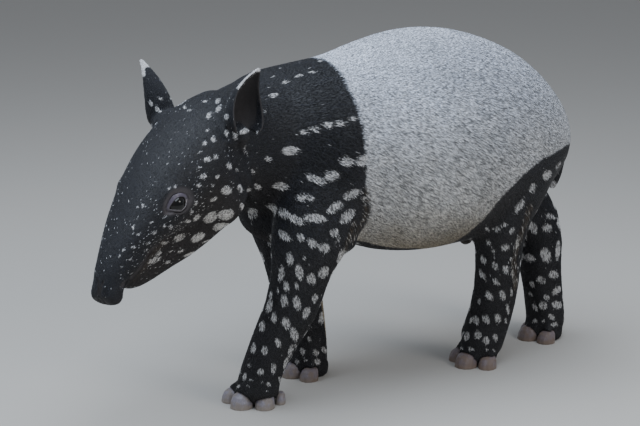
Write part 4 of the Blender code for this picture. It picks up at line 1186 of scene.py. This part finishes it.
# %% Eyeballs
CORNEA_RISE = 0.0007
PUPIL_EDGE = 0.42
PUPIL_WIDE, PUPIL_HIGH = 0.46 * BALL_RADIUS, 0.40 * BALL_RADIUS
eye_finish, tree, shader = new_material("wet_eye", 0.05, Coat_Weight=0.30, Coat_Roughness=0.02,
                                        Specular_IOR_Level=0.30)
off_axis = kept(tree, "off_axis")
iris_tone = blended(tree, noise(tree, object_place(tree), 700.0, 3.0), (0.003, 0.0022, 0.002, 1),
                    (0.008, 0.0058, 0.0045, 1))
iris_tone = blended(tree, stepped(tree, off_axis, 0.36, 0.46), (0.002, 0.002, 0.002, 1), iris_tone)
eye_tone = blended(tree, stepped(tree, off_axis, 0.86, 0.98), iris_tone, (0.006, 0.005, 0.005, 1))
tree.links.new(eye_tone, shader.inputs["Base Color"])
for side, title in ((1, "left_eye"), (-1, "right_eye")):
    ball, along, across, out = eye_axes(side)
    bpy.ops.object.select_all(action="DESELECT")
    bpy.ops.mesh.primitive_uv_sphere_add(segments=64, ring_count=40, radius=BALL_RADIUS)
    eye = bpy.context.object
    eye.name = title + "_ball"
    turn = Matrix((along, across, out)).transposed()
    local = places(eye)
    away = np.hypot(local[:, 0], local[:, 1]) / BALL_RADIUS
    front = local[:, 2] > 0
    local += local / BALL_RADIUS * (CORNEA_RISE * (1 - eased_step(away, 0.25, 0.62)) * front)[:, None]
    from_pupil = np.hypot(local[:, 0] / PUPIL_WIDE, local[:, 1] / PUPIL_HIGH) * PUPIL_EDGE
    keep_on(eye.data, off_axis=np.where(front, from_pupil, 2.0))
    put_places(eye, local @ np.array(turn).T + np.array(ball))
    eye.data.materials.append(eye_finish)
    alone(eye)
    bpy.ops.object.shade_smooth()
    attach(eye, "root")
    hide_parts(title)
print("eyeballs", BALL_RADIUS * 2000, "mm across")

# %% [markdown]
# The lids are one closed ring round the almond: a broad soft roll above, lilac-grey, and a thin
# moist rim below that catches the light. The wet edge that touches the ball is paler below and
# black above, where it lies in shade.

# %% Lid material
lid_finish, tree, shader = new_material("lid_skin", 0.38, Coat_Weight=0.25, Coat_Roughness=0.25)
upper, rim = kept(tree, "upper"), kept(tree, "rim")
lid_tone = blended(tree, upper, (0.050, 0.042, 0.047, 1), (0.108, 0.092, 0.128, 1))
rim_tone = blended(tree, upper, (0.30, 0.27, 0.28, 1), (0.012, 0.010, 0.011, 1))
lid_grain = noise(tree, object_place(tree), 1500.0, 3.0)
lid_tone = blended(tree, stepped(tree, lid_grain, 0.35, 0.65, 0.0, 0.35), blended(tree, rim, lid_tone, rim_tone),
                   (0.035, 0.028, 0.034, 1))
tree.links.new(lid_tone, shader.inputs["Base Color"])
tree.links.new(stepped(tree, rim, 0.2, 0.8, 0.42, 0.18), shader.inputs["Roughness"])
bumped(tree, shader, lid_grain, 0.4, 0.0003)
print("lid nodes", len(tree.nodes))

# %% [markdown]
# A torus is the natural start for a lid: its circle is bent to the almond, and its tube becomes the
# roll, which lies on the eyeball and ends at the level of the bed.

# %% Lids
TUBE = 0.25
ROLL_LIFT, ROLL_SHARE, ROLL_SOFT = 0.0004, 0.35, 0.0015
WRINKLE, WRINKLES = 0.00016, 23
for side, title in ((1, "left_lids"), (-1, "right_lids")):
    bpy.ops.object.select_all(action="DESELECT")
    bpy.ops.mesh.primitive_torus_add(major_radius=1.0, minor_radius=TUBE, major_segments=96, minor_segments=24)
    lids = bpy.context.object
    lids.name = title
    local = places(lids)
    turn = np.arctan2(local[:, 1], local[:, 0])
    across_tube = (np.hypot(local[:, 0], local[:, 1]) - 1.0) / TUBE
    up_tube = local[:, 2] / TUBE
    half = lid_width(turn)
    a, b = beside_almond(turn, half * (1 + across_tube))
    on_ball = np.sqrt(np.maximum(BALL_RADIUS ** 2 - a ** 2 - b ** 2, 0))
    level = lid_level(turn)
    height = (0.5 * (on_ball + level + np.hypot(on_ball - level, ROLL_SOFT))
              + (ROLL_LIFT + ROLL_SHARE * half) * up_tube)
    wrinkle = WRINKLE * np.sin(turn * WRINKLES) * np.maximum(up_tube, 0) * (across_tube > -0.2)
    ball, along, across, out = [np.array(v) for v in eye_axes(side)]
    put_places(lids, ball + a[:, None] * along + b[:, None] * across + (height + wrinkle)[:, None] * out)
    keep_on(lids.data, upper=eased_step(np.sin(turn), -0.25, 0.35), rim=eased_step(-across_tube, 0.50, 0.92))
    edited(lids, bpy.ops.mesh.normals_make_consistent, inside=False)
    bpy.ops.object.shade_smooth()
    lids.data.materials.append(lid_finish)
    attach(lids, "root")
print("lids", round(2000 * UPPER_LID, 1), "and", round(2000 * LOWER_LID, 1), "mm wide")

# %% [markdown]
# ## Hooves
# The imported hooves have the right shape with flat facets. Copies of them are remeshed finely and
# relaxed into smooth horn, which keeps each one in its place. Horn grows downwards from the skin,
# so it has upright fibres and level rings, and it is dustier near the ground.

# %% Smooth horn
HOOF_VOXEL = 0.0009
hoof_names = [name for name in nodes if name.endswith("_hoof")]
hooves = copy_of(hoof_names, "hooves")
finished_with(hooves, "REMESH", mode="VOXEL", voxel_size=HOOF_VOXEL)
finished_with(hooves, "SMOOTH", factor=0.5, iterations=6)
finished_with(hooves, "DECIMATE", ratio=0.5)
horn, tree, shader = new_material("horn", 0.42, Specular_IOR_Level=0.45)
where = object_place(tree)
across, _, height = node(tree, "SeparateXYZ", {0: where}).outputs
fibres = drawn_out(tree, where, (700, 700, 60))
rings = drawn_out(tree, where, (40, 40, 420), detail=2.0)
horn_tone = blended(tree, fibres, (0.130, 0.118, 0.140, 1), (0.360, 0.335, 0.385, 1))
horn_tone = blended(tree, stepped(tree, height, 0.002, 0.011, 0.75, 0.0), horn_tone, (0.30, 0.25, 0.20, 1))
dusty = stepped(tree, noise(tree, where, 90.0, 4.0), 0.42, 0.62, 0.0, 0.75)
horn_tone = blended(tree, dusty, horn_tone, (0.25, 0.21, 0.18, 1))
browner_behind = stepped(tree, across, -0.10, 0.00)
horn_tone = blended(tree, browner_behind, horn_tone, dimmed(tree, horn_tone, (0.74, 0.64, 0.58, 1)))
tree.links.new(horn_tone, shader.inputs["Base Color"])
tree.links.new(stepped(tree, dusty, 0.0, 0.7, 0.34, 0.7), shader.inputs["Roughness"])
bumped(tree, shader, maths(tree, "ADD", maths(tree, "MULTIPLY", rings, 0.7), maths(tree, "MULTIPLY", fibres, 0.3)),
       0.5, 0.0008)
hooves.data.materials.append(horn)
alone(hooves)
bpy.ops.object.shade_smooth()
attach(hooves, "root")
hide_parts(*hoof_names)
print("hooves", len(hooves.data.polygons), "faces")

# %% [markdown]
# ## The coat
# First the lie of the fur. It runs back along the barrel and down over the rump and the limbs, from
# the nose back to the neck, and up the ears. Each region has one direction, the directions are
# averaged over the borders, and each is laid flat on the skin.

# %% The lie of the fur
LIE = {"neck": (1.0, 0.15, -0.22), "shin": (0.12, 0.0, -1.0), "foot": (0.12, 0.0, -1.0),
       "tail": (0.35, 0.0, -1.0), "head": np.array(-nose_way) + np.array([0, 0, -0.30])}
RUMP_LIE, THIGH_LIE, KNEE_LIE = np.array([[0.30, 0.0, -1.0], [0.75, 0.0, -0.55], [0.14, 0.0, -1.0]])


def flat_on(directions, normals):
    """Directions laid flat on the skin, at length one."""
    flat = directions - normals * np.sum(directions * normals, axis=1)[:, None]
    return flat / np.maximum(np.linalg.norm(flat, axis=1), 1e-9)[:, None]


down = eased_step(0.56 - points[:, 2], 0.0, 0.30)
fur_way = np.array([1.0 - 0.3 * down, np.zeros(len(points)), -0.10 - 1.0 * down]).T
rump = eased_step(points[:, 0], 0.32, 0.46)[:, None]
fur_way = fur_way * (1 - rump) + RUMP_LIE * rump
low = (1 - eased_step(points[:, 2], 0.22, 0.38))[:, None]
fur_way = np.where(is_in(region, "thigh")[:, None], THIGH_LIE * (1 - low) + KNEE_LIE * low, fur_way)
for name, direction in LIE.items():
    fur_way[is_in(region, name)] = direction
fur_way = spread(fur_way, 60)
for side in (1, -1):
    fur_way[at_ear & (ear_side == side)] = np.array(ear_axes(side)[1])
fur_way = flat_on(spread(fur_way, 6), normals)
print("directions for", len(fur_way), "points")

# %% [markdown]
# Then an unwrap of the skin's own shape. Each tuft takes a small patch at its root's place on it into
# its UV map.

# %% Unwrap of the skin
edited(skin, bpy.ops.uv.smart_project, angle_limit=math.radians(66), island_margin=0.002)
skin_uv = read_out(skin.data.uv_layers.active.data, "uv", 2).reshape(-1, 3, 2)
skin.data.uv_layers.remove(skin.data.uv_layers.active)
corners = read_out(skin.data.loops, "vertex_index", 1, np.int32).reshape(-1, 3)
print("unwrapped", len(skin_uv), "triangles")

# %% [markdown]
# Tufts are longest on the saddle and shortest on face, ears and feet. At the saddle's edge, where
# white meets black, they are half as long, so that the edge stays as crisp as it is. Behind the
# elbow and down the backs of the legs a fringe stands out, on both sides.

# %% Sizes of the tufts
TUFT = {"trunk": (0.0120, 0.0012), "neck": (0.0075, 0.0012), "thigh": (0.0070, 0.0012), "shin": (0.0055, 0.0011),
        "foot": (0.0036, 0.0009), "head": (0.0042, 0.0008), "ear": (0.0030, 0.0007), "tail": (0.0060, 0.0010)}
FRINGES = [[(366, 190), (366, 205), (363, 219), (354, 236)], [(353, 222), (347, 240), (343, 262)],
           [(529, 205), (521, 232), (514, 258), (516, 285)]]
FRINGE_HALF, FRINGE_END = 0.003, 0.012
tuft_length, tuft_width = [spread(np.array([TUFT[REGIONS[r]][k] for r in region]), 10) for k in (0, 1)]
shaggy = np.zeros(len(points))
for path in FRINGES:
    for flip in (None, flip_body):
        away = line_distance(points, dropped(path, flip))
        shaggy = np.maximum(shaggy, 1 - eased_step(away, FRINGE_HALF, FRINGE_END))
tuft_length *= (1 + 1.1 * shaggy) * (0.5 + 0.5 * eased_step(np.abs(saddle_depth), 3, 16))
print("tuft lengths", [round(float(end) * 1000, 1) for end in (tuft_length.min(), tuft_length.max())], "mm")

# %% [markdown]
# Roots are set by walking over the triangles with an even step of area, so they are spaced evenly
# and never in rows. Bare skin, the soles and the horn stay free.

# %% Where the tufts root
BARE_LIMIT, LID_LIMIT = 0.35, 1.35
SOLE_CLEAR, HOOF_TOP, HOOF_CLEAR = 0.0045, 0.045, 0.0012
hoof_tree = tree_of(hooves)


def mixed(values, triangles, shares):
    """Values of the skin's points at places inside its triangles."""
    return np.einsum("nk,nk...->n...", shares, values[corners[triangles]])


def roots_on(chosen, per_tuft, rng):
    """Triangle, place in it and position of each root, one for every per_tuft of area."""
    triangles = np.nonzero(chosen[corners].sum(axis=1) >= 2)[0]
    a, b, c = (points[corners[triangles, k]] for k in range(3))
    total = np.cumsum(0.5 * np.linalg.norm(np.cross(b - a, c - a), axis=1))
    count = int(total[-1] / per_tuft)
    pick = np.searchsorted(total, (np.arange(count) + rng.uniform(0, 1, count)) * per_tuft)
    triangle = triangles[np.minimum(pick, len(triangles) - 1)]
    r1, r2 = np.sqrt(rng.uniform(0, 1, count)), rng.uniform(0, 1, count)
    shares = np.array([1 - r1, r1 * (1 - r2), r1 * r2]).T
    root = mixed(points, triangle, shares)
    free = ((mixed(bare, triangle, shares) < BARE_LIMIT) & (mixed(bed, triangle, shares) > LID_LIMIT)
            & (root[:, 2] > SOLE_CLEAR))
    for i in np.nonzero(root[:, 2] < HOOF_TOP)[0]:
        if hoof_tree.find_nearest(Vector(root[i]), HOOF_CLEAR)[0] is not None:
            free[i] = False
    return triangle[free], shares[free], root[free]


print("horn faces that the coat keeps clear of", len(hooves.data.polygons))

# %% [markdown]
# A tuft is a flat closed spindle of five points: root, two sides, a low ridge and the tip. Its tip
# is laid on the skin again, so it follows the form, except in a fringe, where it stands out.

# %% The shape of a tuft
LIFT, RIDGE = 0.0007, 0.00045
ROOT_SUNK, SIDE_SUNK = -0.0004, -0.0001
SWING = 0.11
FACES = np.array([[0, 2, 3], [0, 3, 1], [2, 4, 3], [3, 4, 1], [0, 1, 2], [1, 4, 2]])
ALONG = np.array([0.0, 0.38, 0.38, 0.42, 1.0])
ASIDE = np.array([0.0, 0.5, -0.5, 0.0, 0.0])


def spindles(triangle, shares, root, normal, shag, rng):
    """The five points of each tuft."""
    count = len(root)
    lie = flat_on(mixed(fur_way, triangle, shares), normal)
    swing = rng.normal(0, SWING, count)[:, None]
    lie = lie * np.cos(swing) + np.cross(normal, lie) * np.sin(swing)
    length = mixed(tuft_length, triangle, shares) * rng.uniform(0.7, 1.25, count)
    width = mixed(tuft_width, triangle, shares) * rng.uniform(0.8, 1.2, count)
    tip = root + lie * length[:, None]
    down = np.array([np.array(skin_tree.find_nearest(Vector(p))[0]) for p in tip]) - tip
    down *= (1 - 0.75 * shag)[:, None]
    lift = LIFT * rng.uniform(0.5, 1.3, count) * (length / 0.008) ** 0.5
    sunk = [np.full(count, depth) for depth in (ROOT_SUNK, SIDE_SUNK, SIDE_SUNK)]
    rise = np.array([*sunk, RIDGE * (width / 0.0012) + 0.3 * lift, lift]).T
    return (root[:, None, :] + lie[:, None, :] * (length[:, None] * ALONG)[:, :, None]
            + np.cross(normal, lie)[:, None, :] * (width[:, None] * ASIDE)[:, :, None]
            + normal[:, None, :] * rise[:, :, None] + down[:, None, :] * (ALONG ** 2)[None, :, None])


print("a tuft has", len(ALONG), "points and", len(FACES), "faces")

# %% [markdown]
# Each tuft keeps the marking at its root, so a hair is one colour to its tip. A few hairs are
# white flecks: more of them on the muzzle, and most in the fringes.

# %% What a tuft keeps
FLECK, FACE_FLECK, MUZZLE_FLECK, FRINGE_FLECK = 0.003, 0.008, 0.060, 0.14
FLECK_DEPTH, FRINGE_WARM = 1.6, 1.7


def at_roots(triangle, shares, root, normal, shag, rng):
    """The values that the fur material reads, one for each tuft."""
    own = rng.uniform(0, 1, len(root))
    on_ear = mixed(at_ear.astype(float), triangle, shares) > 0.5
    inside = np.maximum(into_spots(root, marks), np.where(on_ear, mixed(spot_depth, triangle, shares), -PURE))
    face_here, head_place = mixed(face, triangle, shares), into_head(root)
    nose_side = eased_step(head_place[:, 0], 0.06, 0.16) * (1 - eased_step(head_place[:, 0], 0.23, 0.29))
    muzzle = (nose_side * eased_step(0.115 - head_place[:, 2], 0, 0.05) * eased_step(head_place[:, 2], 0.0, 0.04)
              * face_here)
    fleck = rng.uniform(0, 1, len(root)) < (FACE_FLECK * face_here + MUZZLE_FLECK * muzzle + FLECK
                                            + FRINGE_FLECK * shag)
    return {"mark": np.where(fleck, np.maximum(inside, FLECK_DEPTH), inside), "saddle": saddle_at(root, normal),
            "warm": np.maximum(mixed(warm, triangle, shares), FRINGE_WARM * shag), "own": own,
            "limb": mixed(limb, triangle, shares), "face": face_here}


print("flecks on the muzzle", round(100 * (FACE_FLECK + MUZZLE_FLECK + FLECK), 1), "in a hundred hairs")

# %% [markdown]
# The fur material is the coat's colours, dark at the root and lighter towards the tip, as light
# reaches only the ends of the hairs. Black fur is glossier than white.

# %% Fur material
fur_finish, tree, shader = new_material("fur", 0.55, Sheen_Weight=0.06, Sheen_Roughness=0.35)
fur, coat = coat_in(tree, kept(tree, "own"))
root_shade = between(tree, coat.outputs["Pale"], 0.62, 0.36)
shade = stepped(tree, kept(tree, "reach"), 0.0, 0.8, root_shade, 1.15)
tree.links.new(dimmed(tree, coat.outputs["Colour"], grey(tree, shade)), shader.inputs["Base Color"])
tree.links.new(stepped(tree, coat.outputs["Pale"], 0.0, 1.0, 0.42, 0.62), shader.inputs["Roughness"])
print("fur nodes", len(tree.nodes))

# %% [markdown]
# One function plants the tufts of one part of the body as a single joined mesh, built from arrays,
# because operators are far too slow for so many pieces. The patch of each tuft in its UV map is 3 mm
# long.

# %% Planting
PATCH = 0.003


def joined_mesh(title, spots, triangle, shares):
    """Mesh of many tufts, with the patch of each in its UV map."""
    faces = (np.arange(len(spots))[:, None, None] * len(ALONG) + FACES[None]).reshape(-1)
    mesh = bpy.data.meshes.new(title)
    mesh.vertices.add(len(spots) * len(ALONG))
    mesh.vertices.foreach_set("co", spots.astype(np.float32).ravel())
    mesh.loops.add(len(faces))
    mesh.loops.foreach_set("vertex_index", faces.astype(np.int32))
    mesh.polygons.add(len(faces) // 3)
    mesh.polygons.foreach_set("loop_start", np.arange(0, len(faces), 3, dtype=np.int32))
    mesh.update()
    root_uv = np.einsum("nk,nkj->nj", shares, skin_uv[triangle])
    patch = root_uv[:, None, :] + np.array([ALONG - 0.5, ASIDE]).T[None] * PATCH
    mesh.uv_layers.new(name="OFBake").data.foreach_set(
        "uv", patch.reshape(-1, 2)[faces].astype(np.float32).ravel())
    return mesh


def planted(title, chosen, per_tuft, slot, seed):
    """Joined mesh of tufts on the chosen points' triangles, one for each per_tuft of area."""
    rng = np.random.default_rng(seed)
    triangle, shares, root = roots_on(chosen, per_tuft, rng)
    normal = mixed(normals, triangle, shares)
    normal /= np.linalg.norm(normal, axis=1)[:, None]
    shag = mixed(shaggy, triangle, shares)
    spots = spindles(triangle, shares, root, normal, shag, rng)
    mesh = joined_mesh(title, spots, triangle, shares)
    values = at_roots(triangle, shares, root, normal, shag, rng)
    keep_on(mesh, **{name: np.repeat(numbers, len(ALONG)) for name, numbers in values.items()},
            reach=np.tile(ALONG, len(root)))
    mesh.materials.append(fur_finish)
    made = bpy.data.objects.new(title, mesh)
    bpy.context.scene.collection.objects.link(made)
    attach(made, "root")
    print(title, len(root), "tufts")
    return made


print("patch of a tuft", PATCH * 1000, "mm")

# %% [markdown]
# The coat is planted part by part, so that no piece grows too heavy. The side that the photograph
# shows is planted more densely on the trunk than the other. Each part has its own seed.

# %% Plant the coat
FORE_END = 0.16
FIRST_SEED = 100
in_front, near_side, left_half = points[:, 0] < FORE_END, points[:, 1] < SHIFT.y, heads[:, 1] > 0
thigh, trunk, head = is_in(region, "thigh"), is_in(region, "trunk"), is_in(region, "head")
coats = [("coat_trunk_near_front", trunk & near_side & in_front, 4.3e-6, "saddle_coat"),
         ("coat_trunk_near_rear", trunk & near_side & ~in_front, 4.3e-6, "saddle_coat"),
         ("coat_trunk_far", trunk & ~near_side, 8.6e-6, "saddle_coat"),
         ("coat_neck", is_in(region, "neck"), 4.6e-6, "black_coat"),
         ("coat_shoulders", thigh & in_front, 4.8e-6, "black_coat"),
         ("coat_thighs", thigh & ~in_front, 4.8e-6, "black_coat"),
         ("coat_shins", is_in(region, "shin", "tail"), 3.8e-6, "black_coat"),
         ("coat_feet", is_in(region, "foot"), 3.4e-6, "black_coat"),
         ("coat_head_left", head & left_half, 2.7e-6, "black_coat"),
         ("coat_head_right", head & ~left_half, 3.2e-6, "black_coat"),
         ("coat_ears", at_ear & (inner_ear < 0.3), 3.0e-6, "black_coat")]
made_coats = [planted(*coat, FIRST_SEED + i) for i, coat in enumerate(coats)]
faces_made = [len(made.data.polygons) for made in made_coats]
print("coat triangles", sum(faces_made), "most in one piece", max(faces_made))
